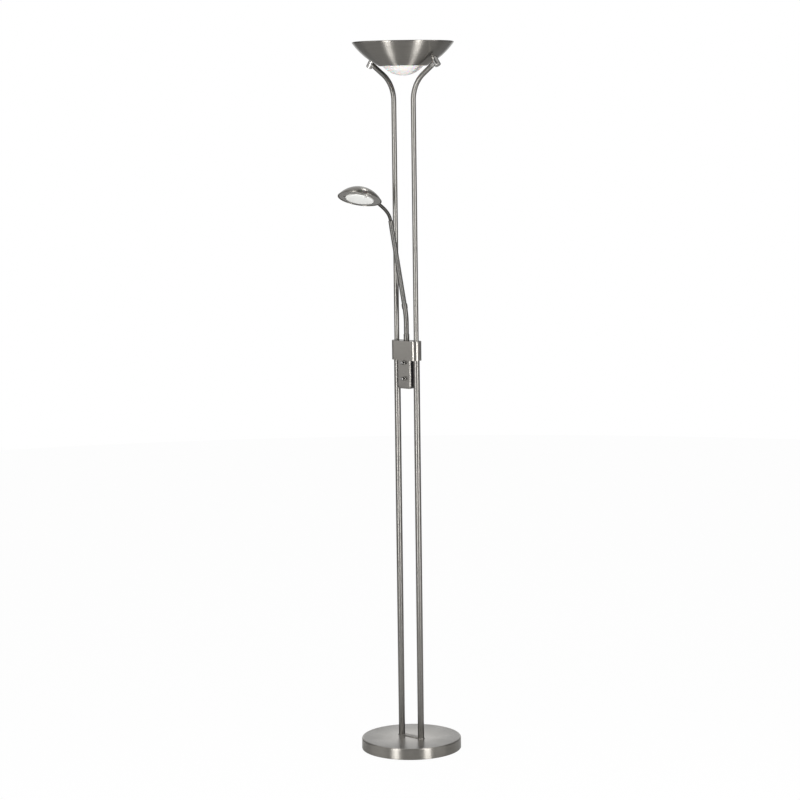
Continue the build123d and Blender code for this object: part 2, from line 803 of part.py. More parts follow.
knob_places = [(0, upper_knob_z), (0, lower_knob_z)]
screw_post = box_screw_head / 2 + screw_post_wall
post_places = [(0, (upper_knob_z + lower_knob_z) / 2), (0, box_bottom + box_corner_radius)]

with BuildPart() as switch_cover:
    with BuildSketch(Plane.XZ.offset(-face_back)):
        with BuildLine():
            box_outline(0)
        make_face()
    extrude(amount=face_depth)
    front_edges = switch_cover.faces().sort_by(Axis.Y)[0].edges().sort_by(Axis.Z)[:-1]
    fillet(front_edges, radius=face_edge_radius)
    with BuildSketch(Plane.XZ.offset(-face_back)):
        with BuildLine():
            box_outline(box_wall + face_edge_radius / 2)
        make_face()
    extrude(amount=face_depth - box_wall, mode=Mode.SUBTRACT)
    with BuildSketch(Plane.XZ.offset(-face_back)):
        with Locations(*post_places):
            Circle(screw_post)
    extrude(amount=face_depth - box_wall)
    with BuildSketch(Plane.XZ.offset(-face_back)):
        with Locations(*post_places):
            Circle(box_screw_diameter / 2 + press_gap)
    extrude(amount=face_depth - box_wall, mode=Mode.SUBTRACT)
    with BuildSketch(Plane.XZ.offset(-face_back)):
        with Locations(*knob_places):
            Circle(dimmer_bush_diameter / 2 + press_gap)
    extrude(amount=face_depth, mode=Mode.SUBTRACT)
switch_cover.part.label = "switch_cover"
export_step(switch_cover.part, "parts/switch_cover.step")

housing_back = box_depth / 2
housing_depth = housing_back - face_back
with BuildPart() as switch_housing:
    with BuildSketch(Plane.XZ.offset(-housing_back)):
        with BuildLine():
            box_outline(0)
        make_face()
    extrude(amount=housing_depth)
    with BuildSketch(Plane.XZ.offset(-housing_back + box_wall)):
        with BuildLine():
            box_outline(box_wall)
        make_face()
    extrude(amount=housing_depth - box_wall, mode=Mode.SUBTRACT)
    with BuildSketch(Plane.XZ.offset(-housing_back)):
        with Locations(*post_places):
            Circle(screw_post)
    extrude(amount=housing_depth)
    with BuildSketch(Plane.XZ.offset(-housing_back)):
        with Locations(*post_places):
            Circle(box_screw_diameter / 2 + press_gap)
    extrude(amount=box_depth, mode=Mode.SUBTRACT)
    with BuildSketch(Plane.XZ.offset(-housing_back)):
        with Locations(*post_places):
            Circle(box_screw_head / 2 + press_gap)
    extrude(amount=box_wall, mode=Mode.SUBTRACT)
    with BuildSketch(Plane.XY.offset(collar_bottom)):
        with Locations(*box_screw_places):
            Circle(box_screw_diameter / 2 + press_gap)
        Circle(nipple_bore / 2)
    extrude(amount=-2 * box_wall, mode=Mode.SUBTRACT)
switch_housing.part.label = "switch_housing"
export_step(switch_housing.part, "parts/switch_housing.step")

housing_screw_length = housing_depth + (face_depth - box_wall) / 2
with BuildPart() as housing_screws:
    for x, z in post_places:
        with BuildSketch(turning_plane((x, housing_back, z), (0, -1, 0))):
            with BuildLine():
                Polyline(
                    (0, 0),
                    (box_screw_head / 2, 0),
                    (box_screw_head / 2, box_wall),
                    (box_screw_diameter / 2, box_wall),
                    (box_screw_diameter / 2, housing_screw_length),
                    (0, housing_screw_length),
                    close=True,
                )
            make_face()
        revolve(axis=Axis((x, housing_back, z), (0, -1, 0)))
housing_screws.part.label = "housing_screws"
export_step(housing_screws.part, "parts/housing_screws.step")

with BuildPart() as box_screws:
    for x, y in box_screw_places:
        with BuildSketch(turning_plane((x, y, collar_bottom - box_wall), up)):
            with BuildLine():
                Polyline(
                    (0, -box_wall),
                    (box_screw_head / 2 - box_screw_taper, -box_wall),
                    (box_screw_head / 2, 0),
                    (box_screw_diameter / 2, 0),
                    (box_screw_diameter / 2, box_screw_length),
                    (0, box_screw_length),
                    close=True,
                )
            make_face()
        revolve(axis=Axis((x, y, 0), up))
box_screws.part.label = "box_screws"
export_step(box_screws.part, "parts/box_screws.step")

dimmer_front = box_front + box_wall
ring_front = box_front - ring_nut_thickness
with BuildPart() as dimmers:
    for z in (upper_knob_z, lower_knob_z):
        with BuildSketch(Plane.XZ.offset(-dimmer_front - dimmer_depth)):
            with Locations((0, z + (dimmer_above - dimmer_below) / 2)):
                Rectangle(dimmer_width, dimmer_above + dimmer_below)
        extrude(amount=dimmer_depth)
        with BuildSketch(Plane.XZ.offset(-dimmer_front)):
            with Locations((0, z)):
                Circle(dimmer_bush_diameter / 2)
        extrude(amount=dimmer_front - ring_front)
        with BuildSketch(Plane.XZ.offset(-ring_front)):
            with Locations((0, z)):
                Circle(shaft_diameter / 2 + press_gap)
        extrude(amount=-(dimmer_front - ring_front) - dimmer_depth / 2, mode=Mode.SUBTRACT)
dimmers.part.label = "dimmers"
export_step(dimmers.part, "parts/dimmers.step")

with BuildPart() as dimmer_ring_nuts:
    with BuildSketch(Plane.XZ.offset(-box_front)):
        with Locations(*knob_places):
            Circle(ring_nut_diameter / 2)
            Circle(dimmer_bush_diameter / 2 + press_gap, mode=Mode.SUBTRACT)
    extrude(amount=ring_nut_thickness)
    front_circles = dimmer_ring_nuts.edges().group_by(Axis.Y)[0]
    chamfer(front_circles.sort_by(SortBy.RADIUS)[-2:], length=ring_nut_edge)
dimmer_ring_nuts.part.label = "dimmer_ring_nuts"
export_step(dimmer_ring_nuts.part, "parts/dimmer_ring_nuts.step")

knob_back = ring_front - knob_gap
shaft_root = dimmer_front + dimmer_depth / 2 - press_gap
shaft_tip = knob_back - knob_length / 2
for z, name in ((upper_knob_z, "upper"), (lower_knob_z, "lower")):
    shaft = turned(
        [
            (0, shaft_tip),
            (shaft_diameter / 2, shaft_tip),
            (shaft_diameter / 2, shaft_root),
            (0, shaft_root),
        ],
        turning_plane((0, 0, z), (0, 1, 0)),
    )
    shaft.part.label = f"{name}_shaft"
    export_step(shaft.part, f"parts/{name}_shaft.step")

    with BuildPart() as knob:
        with BuildSketch(turning_plane((0, knob_back, z), (0, -1, 0))):
            with BuildLine():
                tip_round = (knob_diameter / 2 - knob_edge, knob_length)
                Polyline(
                    tip_round,
                    (0, knob_length),
                    (0, knob_length / 2),
                    (shaft_diameter / 2 + press_gap, knob_length / 2),
                    (shaft_diameter / 2 + press_gap, 0),
                    (knob_diameter / 2 - knob_neck, 0),
                    (knob_diameter / 2 - knob_neck, knob_neck_length),
                    (knob_diameter / 2, knob_neck_length + knob_neck),
                    (knob_diameter / 2, knob_length - knob_edge),
                )
                RadiusArc((knob_diameter / 2, knob_length - knob_edge), tip_round, -knob_edge)
            make_face()
        revolve(axis=Axis((0, knob_back, z), (0, -1, 0)))
    knob.part.label = f"{name}_knob"
    export_step(knob.part, f"parts/{name}_knob.step")

# ---------------------------------------------------------------- reading arm, rigid part

arm_bore = arm_tube_diameter / 2 - arm_tube_wall
stem_bottom = cap_underside - nut_thickness - stem_tail
arm_stem = turned(
    [
        (nipple_bore / 2, stem_bottom),
        (stem_radius, stem_bottom),
        (stem_radius, cap_top),
        (arm_bore - press_gap, cap_top),
        (arm_bore - press_gap, cap_top + spigot_length),
        (nipple_bore / 2, cap_top + spigot_length),
    ],
    Plane.XZ,
)
arm_stem.part.label = "arm_stem"
export_step(arm_stem.part, "parts/arm_stem.step")

with BuildPart() as arm_nut:
    with BuildSketch(Plane.XY.offset(cap_underside - nut_thickness)):
        RegularPolygon(nut_across_flats / 2, 6, major_radius=False)
        Circle(stem_radius + press_gap, mode=Mode.SUBTRACT)
    extrude(amount=nut_thickness)
arm_nut.part.label = "arm_nut"
export_step(arm_nut.part, "parts/arm_nut.step")

ferrule_bore = arm_tube_diameter / 2 + press_gap
with BuildPart() as arm_base_ferrule:
    with BuildSketch(Plane.XY.offset(cap_top)):
        Circle(base_ferrule_diameter / 2)
        Circle(ferrule_bore, mode=Mode.SUBTRACT)
    extrude(amount=base_ferrule_length)
    top_edges = arm_base_ferrule.edges().group_by(Axis.Z)[-1]
    chamfer(top_edges.sort_by(SortBy.RADIUS)[-1], length=base_ferrule_edge)
arm_base_ferrule.part.label = "arm_base_ferrule"
export_step(arm_base_ferrule.part, "parts/arm_base_ferrule.step")

arm_bend_z = collar_top + arm_upright


def arm_point(reach, height):
    """Point in the arm's upright plane, at a reach from the arm's foot."""
    return arm_out * reach + up * height


def bent_point(start, lean, radius, turn):
    """Point after an arc that leans further out by turn degrees, from (reach, height)."""
    before = radians(lean)
    after = radians(lean + turn)
    reach = start[0] + radius * (cos(before) - cos(after))
    height = start[1] + radius * (sin(after) - sin(before))
    return (reach, height)


bend_half = bent_point((0, arm_bend_z), 0, arm_bend_radius, arm_tilt / 2)
bend_full = bent_point((0, arm_bend_z), 0, arm_bend_radius, arm_tilt)
arm_tube_top = arm_point(*bend_full) + hose_axis * arm_tube_straight

with BuildPart() as arm_lower_tube:
    with BuildLine():
        Line(arm_point(0, cap_top), arm_point(0, arm_bend_z))
        ThreePointArc(arm_point(0, arm_bend_z), arm_point(*bend_half), arm_point(*bend_full))
        Line(arm_point(*bend_full), arm_tube_top)
    with BuildSketch(Plane.XY.offset(cap_top)):
        Circle(arm_tube_diameter / 2)
        Circle(arm_bore, mode=Mode.SUBTRACT)
    sweep()
arm_lower_tube.part.label = "arm_lower_tube"
export_step(arm_lower_tube.part, "parts/arm_lower_tube.step")

# ---------------------------------------------------------------- flexible hose

half_swing = tan(radians(link_swing / 2))
hose_radius = hose_diameter / 2
groove_radius = hose_radius - hose_groove
socket_radius = ball_radius + ball_play
face_gap = socket_depth + link_gap


def mouth_height(radius):
    """Height of a link's lower face above its joint, which slopes to let the joint turn."""
    return -socket_depth + half_swing * radius


def shoulder_height(radius):
    """Height of the face below a ball, above that ball's centre."""
    return -face_gap - half_swing * radius


mouth_slope = 1 + half_swing**2
mouth_radius = (
    socket_depth * half_swing
    + sqrt((socket_depth * half_swing) ** 2 - mouth_slope * (socket_depth**2 - socket_radius**2))
) / mouth_slope
neck_height = -sqrt(ball_radius**2 - ball_neck**2)
ball_top = sqrt(ball_radius**2 - ball_bore**2)


def draw_ball(centre):
    """Right side of a ball on its neck, from the neck's foot up to the bore."""
    Line((ball_neck, centre + shoulder_height(ball_neck)), (ball_neck, centre + neck_height))
    ThreePointArc(
        (ball_neck, centre + neck_height), (ball_radius, centre), (ball_bore, centre + ball_top)
    )


def draw_socket(bore):
    """Socket at height 0, from the bore down and round to the mouth's edge."""
    bore_height = sqrt(socket_radius**2 - bore**2)
    mouth_edge = (mouth_radius, mouth_height(mouth_radius))
    ThreePointArc((bore, bore_height), (socket_radius, 0), mouth_edge)


def rib_points(bottom, top):
    """Zigzag outline of the hose's ribs between two grooves."""
    pitch = (top - bottom) / hose_ribs
    points = [(groove_radius, bottom)]
    for rib in range(hose_ribs):
        points.append((hose_radius, bottom + (rib + 0.5) * pitch))
        points.append((groove_radius, bottom + (rib + 1) * pitch))
    return points


hose_start = arm_tube_top + hose_axis * (lower_ferrule_length - lower_ferrule_cover + face_gap)

ferrule_foot = arm_tube_top - hose_axis * lower_ferrule_cover
joint_in_ferrule = (hose_start - ferrule_foot).length
ferrule_shoulder = lower_ferrule_diameter / 2 - lower_ferrule_edge
shoulder_top = joint_in_ferrule + shoulder_height(ferrule_shoulder)
with BuildPart() as arm_lower_ferrule:
    ferrule_plane = turning_plane(ferrule_foot, hose_axis)
    with BuildSketch(ferrule_plane):
        with BuildLine():
            draw_ball(joint_in_ferrule)
            Polyline(
                (ball_bore, joint_in_ferrule + ball_top),
                (ball_bore, lower_ferrule_cover + lower_ferrule_edge),
                (arm_bore, lower_ferrule_cover),
                (ferrule_bore, lower_ferrule_cover),
                (ferrule_bore, 0),
                (lower_ferrule_diameter / 2, 0),
                (lower_ferrule_diameter / 2, shoulder_top - lower_ferrule_edge),
                (ferrule_shoulder, shoulder_top),
                (ball_neck, joint_in_ferrule + shoulder_height(ball_neck)),
            )
        make_face()
    revolve(axis=Axis(ferrule_foot, hose_axis))
arm_lower_ferrule.part.label = "arm_lower_ferrule"
export_step(arm_lower_ferrule.part, "parts/arm_lower_ferrule.step")

taper_start = link_pitch - bore_taper
ribs_end = link_pitch + shoulder_height(groove_radius)
for number in range(1, link_count + 1):
    joint = hose_start + hose_axis * ((number - 1) * link_pitch)
    with BuildPart() as hose_link:
        with BuildSketch(turning_plane(joint, hose_axis)):
            with BuildLine():
                draw_ball(link_pitch)
                Polyline(
                    (ball_bore, link_pitch + ball_top),
                    (ball_bore, taper_start),
                    (hose_bore, taper_start - hose_bore + ball_bore),
                    (hose_bore, sqrt(socket_radius**2 - hose_bore**2)),
                )
                draw_socket(hose_bore)
                Polyline(
                    (mouth_radius, mouth_height(mouth_radius)),
                    *rib_points(mouth_height(groove_radius), ribs_end),
                    (ball_neck, link_pitch + shoulder_height(ball_neck)),
                )
            make_face()
        revolve(axis=Axis(joint, hose_axis))
    hose_link.part.label = f"hose_link_{number}"
    export_step(hose_link.part, f"parts/hose_link_{number}.step")

# ---------------------------------------------------------------- thin tube

hose_end = hose_start + hose_axis * (link_count * link_pitch)
thin_radius = thin_tube_diameter / 2
ferrule_top = mouth_height(0) + upper_ferrule_length
tube_seat = ferrule_top - upper_ferrule_hold
with BuildPart() as arm_upper_ferrule:
    with BuildSketch(turning_plane(hose_end, hose_axis)):
        with BuildLine():
            draw_socket(ball_bore)
            rim_radius = upper_ferrule_diameter / 2
            foot_radius = rim_radius - upper_ferrule_foot_edge
            Polyline(
                (mouth_radius, mouth_height(mouth_radius)),
                (foot_radius, mouth_height(foot_radius)),
                (rim_radius, mouth_height(rim_radius) + upper_ferrule_foot_edge),
                (rim_radius, ferrule_top - upper_ferrule_top_edge),
                (rim_radius - upper_ferrule_top_edge, ferrule_top),
                (thin_radius + press_gap, ferrule_top),
                (thin_radius + press_gap, tube_seat),
                (ball_bore, tube_seat),
                (ball_bore, sqrt(socket_radius**2 - ball_bore**2)),
            )
        make_face()
    revolve(axis=Axis(hose_end, hose_axis))
arm_upper_ferrule.part.label = "arm_upper_ferrule"
export_step(arm_upper_ferrule.part, "parts/arm_upper_ferrule.step")

thin_start = hose_end + hose_axis * tube_seat
thin_bend_from = hose_end + hose_axis * ferrule_top
bend_from = (thin_bend_from.dot(arm_out), thin_bend_from.Z)
bend_mid = bent_point(bend_from, arm_tilt, thin_bend_radius, thin_bend_angle / 2)
bend_to = bent_point(bend_from, arm_tilt, thin_bend_radius, thin_bend_angle)
sweep_lean = arm_tilt + thin_bend_angle
sweep_mid = bent_point(bend_to, sweep_lean, thin_sweep_radius, thin_sweep_angle / 2)
sweep_to = bent_point(bend_to, sweep_lean, thin_sweep_radius, thin_sweep_angle)
entry_lean = radians(sweep_lean + thin_sweep_angle)
entry_direction = arm_out * sin(entry_lean) + up * cos(entry_lean)
entry_start = arm_point(*sweep_to)
thin_end = entry_start + entry_direction * thin_tube_end

with BuildPart() as arm_upper_tube:
    with BuildLine():
        Line(thin_start, thin_bend_from)
        ThreePointArc(thin_bend_from, arm_point(*bend_mid), arm_point(*bend_to))
        ThreePointArc(arm_point(*bend_to), arm_point(*sweep_mid), entry_start)
        Line(entry_start, thin_end)
    with BuildSketch(Plane(origin=thin_start, z_dir=hose_axis)):
        Circle(thin_radius)
        Circle(thin_radius - thin_tube_wall, mode=Mode.SUBTRACT)
    sweep()
arm_upper_tube.part.label = "arm_upper_tube"
export_step(arm_upper_tube.part, "parts/arm_upper_tube.step")

# ---------------------------------------------------------------- reading head

head_middle = thin_end + arm_out * head_reach - up * head_drop
head_axis = Axis(head_middle, head_crown)
toward_arm = (arm_out * -1 + head_crown * head_crown.dot(arm_out)).normalized()
head_section = Plane(
    origin=head_middle, x_dir=toward_arm, z_dir=toward_arm.cross(head_crown)
)
head_floor = Plane(origin=head_middle, x_dir=toward_arm, z_dir=head_crown)
crown_radius = (head_radius**2 + head_depth**2) / (2 * head_depth)
crown_centre = head_depth - crown_radius


def crown_point(height, inset):
    """Point of the shade's section at a height, on the outer arc moved inwards by inset."""
    reach = crown_radius - inset
    return (sqrt(reach**2 - (height - crown_centre) ** 2), height)


with BuildPart() as head_shade:
    with BuildSketch(head_section):
        with BuildLine():
            half_depth = head_depth / 2
            outer_rim = crown_point(0, 0)
            inner_rim = crown_point(0, head_sheet)
            outer_apex = (0, head_depth)
            inner_apex = (0, head_depth - head_sheet)
            ThreePointArc(outer_rim, crown_point(half_depth, 0), outer_apex)
            Line(outer_apex, inner_apex)
            ThreePointArc(inner_apex, crown_point(half_depth, head_sheet), inner_rim)
            Line(inner_rim, outer_rim)
        make_face()
    revolve(axis=head_axis)
    with BuildSketch(head_section):
        with Locations(((outer_rim[0] + inner_rim[0]) / 2, 0)):
            Circle(head_lip / 2)
    revolve(axis=head_axis)
    with BuildSketch(Plane(origin=entry_start, z_dir=entry_direction)):
        Circle(thin_radius + slip_gap)
    extrude(amount=thin_tube_end + head_lip, mode=Mode.SUBTRACT)
head_shade.part.label = "head_shade"
export_step(head_shade.part, "parts/head_shade.step")

bezel_radius = crown_point(bezel_recess + bezel_sheet, head_sheet)[0] - slip_gap
with BuildPart() as head_bezel:
    with BuildSketch(head_floor.offset(bezel_recess)):
        Circle(bezel_radius)
        Circle(bezel_opening, mode=Mode.SUBTRACT)
    extrude(amount=bezel_sheet)
    with BuildSketch(Plane(origin=entry_start, z_dir=entry_direction)):
        Circle(thin_radius + slip_gap)
    extrude(amount=thin_tube_end + head_lip, mode=Mode.SUBTRACT)
head_bezel.part.label = "head_bezel"
export_step(head_bezel.part, "parts/head_bezel.step")

with BuildPart() as head_glass:
    with BuildSketch(head_floor.offset(bezel_recess)):
        Circle(head_glass_radius)
    extrude(amount=-head_glass_thickness)
    fillet(head_glass.edges(), radius=head_glass_edge)
head_glass.part.label = "head_glass"
export_step(head_glass.part, "parts/head_glass.step")

clip_inner = head_glass_radius - clip_overlap
clip_riser = head_glass_radius + slip_gap
clip_outer = clip_riser + clip_foot
glass_face = bezel_recess - head_glass_thickness
with BuildPart() as glass_clips:
    for number in range(clip_count):
        angle = radians(clip_start + number * 360 / clip_count)
        ray = toward_arm * cos(angle) + head_crown.cross(toward_arm) * sin(angle)
        across = ray.cross(head_crown)
        clip_origin = head_middle - across * (clip_width / 2)
        with BuildSketch(Plane(origin=clip_origin, x_dir=ray, z_dir=across)):
            with BuildLine():
                Polyline(
                    (clip_inner, glass_face),
                    (clip_riser, glass_face),
                    (clip_riser, bezel_recess),
                    (clip_outer, bezel_recess),
                    (clip_outer, bezel_recess - clip_sheet),
                    (clip_riser + clip_sheet, bezel_recess - clip_sheet),
                    (clip_riser + clip_sheet, glass_face - clip_sheet),
                    (clip_inner, glass_face - clip_sheet),
                    close=True,
                )
            make_face()
        extrude(amount=clip_width)
glass_clips.part.label = "glass_clips"
export_step(glass_clips.part, "parts/glass_clips.step")

holder_middle = head_middle + toward_arm * holder_reach + head_crown * holder_rise
holder_plane = Plane(origin=holder_middle, x_dir=toward_arm, z_dir=head_crown)
holder_half = holder_height / 2
set_screw_place = (holder_length / 2 - set_screw_diameter, 0)
with BuildPart() as head_lampholder:
    with BuildSketch(holder_plane.offset(-holder_half)):
        RectangleRounded(holder_length, holder_width, holder_corner)
    extrude(amount=holder_height)
    with BuildSketch(Plane(origin=entry_start, z_dir=entry_direction)):
        Circle(thin_radius + press_gap)
    extrude(amount=thin_tube_end + press_gap, mode=Mode.SUBTRACT)
    with BuildSketch(holder_plane.offset(-holder_half)):
        with Locations(set_screw_place):
            Circle(set_screw_diameter / 2 + press_gap)
    extrude(amount=holder_half, mode=Mode.SUBTRACT)
head_lampholder.part.label = "head_lampholder"
export_step(head_lampholder.part, "parts/head_lampholder.step")

with BuildPart() as head_set_screw:
    with BuildSketch(holder_plane.offset(-holder_half)):
        with Locations(set_screw_place):
            Circle(set_screw_diameter / 2)
    extrude(amount=holder_half)
    with BuildSketch(Plane(origin=entry_start, z_dir=entry_direction)):
        Circle(thin_radius + press_gap)
    extrude(amount=thin_tube_end + press_gap, mode=Mode.SUBTRACT)
head_set_screw.part.label = "head_set_screw"
export_step(head_set_screw.part, "parts/head_set_screw.step")

capsule_start = holder_middle - toward_arm * (holder_length / 2)
with BuildPart() as head_lamp:
    with BuildSketch(turning_plane(capsule_start, toward_arm * -1)):
        with BuildLine():
            capsule_radius = capsule_diameter / 2
            shoulder = capsule_length - capsule_radius
            Polyline(
                (0, capsule_length),
                (0, 0),
                (capsule_radius - capsule_base_edge, 0),
                (capsule_radius, capsule_base_length),
                (capsule_radius, shoulder),
            )
            RadiusArc((capsule_radius, shoulder), (0, capsule_length), -capsule_radius)
        make_face()
    revolve(axis=Axis(capsule_start, toward_arm * -1))
head_lamp.part.label = "head_lamp"
export_step(head_lamp.part, "parts/head_lamp.step")
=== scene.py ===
"""Looks of a torchiere floor lamp with a reading light, built round its CAD frame.

Sizes in the classes are millimetres in the lamp's own frame: +Z is up, and the origin is the
middle of the base's underside. Meshes are made in metres. Each turned piece has its own local
frame, with local Z along the axis that it was turned round, so that its brushing runs round it.
"""
import json
import logging
from dataclasses import dataclass, field, replace
from enum import Enum
from math import atan2, cos, pi, radians, sin, sqrt, tan
from typing import Callable, Protocol, Sequence

import bmesh
import bpy
from mathutils import Matrix, Vector


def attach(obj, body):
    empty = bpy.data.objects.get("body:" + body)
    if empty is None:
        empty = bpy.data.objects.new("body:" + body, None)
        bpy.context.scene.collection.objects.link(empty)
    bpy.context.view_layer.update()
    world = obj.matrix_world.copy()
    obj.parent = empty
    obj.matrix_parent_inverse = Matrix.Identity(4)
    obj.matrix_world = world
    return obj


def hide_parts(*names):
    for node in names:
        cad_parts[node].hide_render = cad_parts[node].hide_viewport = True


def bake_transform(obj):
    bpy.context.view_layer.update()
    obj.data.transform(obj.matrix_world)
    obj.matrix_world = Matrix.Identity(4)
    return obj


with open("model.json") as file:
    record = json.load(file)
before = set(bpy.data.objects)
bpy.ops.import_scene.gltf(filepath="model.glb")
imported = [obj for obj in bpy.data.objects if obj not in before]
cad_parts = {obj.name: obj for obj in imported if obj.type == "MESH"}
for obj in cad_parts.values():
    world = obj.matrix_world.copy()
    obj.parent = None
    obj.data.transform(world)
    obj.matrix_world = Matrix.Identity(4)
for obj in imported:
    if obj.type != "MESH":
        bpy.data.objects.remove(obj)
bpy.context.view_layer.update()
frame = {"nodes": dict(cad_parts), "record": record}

MM = 0.001
UP = Vector((0, 0, 1))
RIM_STEPS = 6
ROUND_FACETS = 224

Point = tuple[float, float]
Corner = tuple[float, float, float]
Input = "float | tuple | Socket | bpy.types.NodeSocket"

log = logging.getLogger("lamp")


class Body(Enum):
    """Bodies of the CAD frame that pieces ride on."""

    STAND = "stand"
    UPPER_KNOB = "upper_knob"
    LOWER_KNOB = "lower_knob"
    HEAD = "reading_head"


# ---------------------------------------------------------------- outlines


def arc(centre: Point, radius: float, start: float, end: float, steps: int) -> list[Point]:
    """Points of an arc in a section.

    Args:
        centre: Middle of the arc.
        radius: Its radius.
        start: Angle of the first point, in radians from the outward direction.
        end: Angle of the last point.
        steps: Number of chords.

    Returns:
        The points, both ends included.
    """
    turns = [start + (end - start) * k / steps for k in range(steps + 1)]
    return [(centre[0] + radius * cos(t), centre[1] + radius * sin(t)) for t in turns]


def rounded(corners: Sequence[Corner], closed: bool = False,
            steps: int = RIM_STEPS) -> list[Point]:
    """Line through a section's corners, with an arc at each corner that has a radius.

    Args:
        corners: Radius, height and corner radius of each corner.
        closed: Whether the last corner joins the first.
        steps: Chords of each arc.

    Returns:
        The points of the line.
    """
    line: list[Point] = []
    count = len(corners)
    for index, (x, y, radius) in enumerate(corners):
        ends = index in (0, count - 1) and not closed
        if radius <= 0 or ends:
            line.append((x, y))
            continue
        here = Vector((x, y))
        before = Vector(corners[index - 1][:2]) - here
        after = Vector(corners[(index + 1) % count][:2]) - here
        before.normalize()
        after.normalize()
        half = before.angle(after) / 2
        middle = here + (before + after).normalized() * (radius / sin(half))
        first = here + before * (radius / tan(half)) - middle
        last = here + after * (radius / tan(half)) - middle
        swing = first.angle(last) * (1 if first.cross(last) > 0 else -1)
        start = atan2(first.y, first.x)
        line += arc((middle.x, middle.y), radius, start, start + swing, steps)
    return line


def obround(length: float, width: float, steps: int = 20) -> Callable[[float], list[Point]]:
    """Outline with two round ends, as a function of how far it is drawn in.

    Args:
        length: Size along local X.
        width: Size along local Y.
        steps: Chords of each round end.

    Returns:
        A function from the inset to the outline's points.
    """

    def outline(inset: float) -> list[Point]:
        """Points of the outline, drawn in by inset."""
        reach = (length - width) / 2
        radius = width / 2 - inset
        right = arc((reach, 0), radius, -pi / 2, pi / 2, steps)
        left = arc((-reach, 0), radius, pi / 2, 3 * pi / 2, steps)
        return right + left

    return outline


# ---------------------------------------------------------------- meshes


@dataclass(frozen=True)
class Place:
    """Local frame of a piece: its origin in millimetres, local Z, and a hint for local X."""

    origin: Vector = Vector((0, 0, 0))
    axis: Vector = UP
    across: Vector = Vector((1, 0, 0))

    def matrix(self) -> Matrix:
        """Matrix from local metres to the lamp's frame."""
        z = self.axis.normalized()
        x = (self.across - z * self.across.dot(z)).normalized()
        y = z.cross(x)
        turn = Matrix((x, y, z)).transposed().to_4x4()
        return Matrix.Translation(self.origin * MM) @ turn


def mesh_piece(name: str, points: Sequence[Vector], faces: Sequence[Sequence[int]],
               place: Place = Place(), crease: float = 32.0) -> bpy.types.Object:
    """Object made of local points in millimetres.

    Args:
        name: Name of the object.
        points: Its vertices.
        faces: Vertex numbers of each face.
        place: Local frame of the object.
        crease: Edges that turn by more degrees than this stay sharp.

    Returns:
        The object, linked to the scene and smoothly shaded.
    """
    mesh = bpy.data.meshes.new(name)
    mesh.from_pydata([Vector(p) * MM for p in points], [], [list(f) for f in faces])
    work = bmesh.new()
    work.from_mesh(mesh)
    bmesh.ops.recalc_face_normals(work, faces=work.faces)
    work.to_mesh(mesh)
    work.free()
    mesh.shade_smooth()
    mesh.set_sharp_from_angle(angle=radians(crease))
    piece = bpy.data.objects.new(name, mesh)
    bpy.context.scene.collection.objects.link(piece)
    piece.matrix_world = place.matrix()
    return piece


def skin(rows: int, count: int, joined: bool) -> list[list[int]]:
    """Four-sided faces between neighbouring rows of points.

    Args:
        rows: Number of rows.
        count: Points in each row.
        joined: Whether the last row joins the first.

    Returns:
        Vertex numbers of each face.
    """
    faces: list[list[int]] = []
    for row in range(rows if joined else rows - 1):
        low = row * count
        high = (row + 1) % rows * count
        for k in range(count):
            step = (k + 1) % count
            faces.append([low + k, low + step, high + step, high + k])
    return faces


def loops_piece(name: str, loops: Sequence[Sequence[Vector]], place: Place, joined: bool,
                crease: float = 32.0) -> bpy.types.Object:
    """Object skinned over a row of closed loops that have as many points each.

    Args:
        name: Name of the object.
        loops: The loops, in order.
        place: Local frame of the object.
        joined: Whether the last loop joins the first. If not, the ends get flat caps.
        crease: Angle above which edges stay sharp, in degrees.

    Returns:
        The object.
    """
    count = len(loops[0])
    points = [p for loop in loops for p in loop]
    faces = skin(len(loops), count, joined)
    if not joined:
        faces.append(list(range(count)))
        faces.append([(len(loops) - 1) * count + k for k in range(count)])
    return mesh_piece(name, points, faces, place, crease)


def turn(name: str, outline: Sequence[Point], place: Place = Place(), segments: int = 96,
         joined: bool = False) -> bpy.types.Object:
    """Piece turned round its local Z axis, as on a lathe.

    Args:
        name: Name of the object.
        outline: Points of (radius, height). A line that isn't joined starts and ends on the axis.
        place: Local frame of the object.
        segments: Facets round the axis.
        joined: Whether the outline is a closed ring that stays off the axis.

    Returns:
        The object.
    """
    line = list(outline) if joined else list(outline)[1:-1]
    turns = [2 * pi * k / segments for k in range(segments)]
    points = [Vector((r * cos(t), r * sin(t), z)) for r, z in line for t in turns]
    rows = len(line)
    faces = skin(rows, segments, joined)
    if not joined:
        for row, end in ((0, outline[0]), (rows - 1, outline[-1])):
            points.append(Vector((0, 0, end[1])))
            tip = len(points) - 1
            first = row * segments
            faces += [[tip, first + k, first + (k + 1) % segments] for k in range(segments)]
    return mesh_piece(name, points, faces, place)


def bar(name: str, radius: float, low: float, high: float, place: Place,
        edges: tuple[float, float], segments: int = 56) -> bpy.types.Object:
    """Plain turned bar.

    Args:
        name: Name of the object.
        radius: Its radius.
        low: Local height of its lower end.
        high: Local height of its upper end.
        place: Local frame of the object.
        edges: Radius of its lower and its upper edge.
        segments: Facets round the axis.

    Returns:
        The object.
    """
    corners = [(0, low, 0), (radius, low, edges[0]), (radius, high, edges[1]), (0, high, 0)]
    return turn(name, rounded(corners), place, segments)


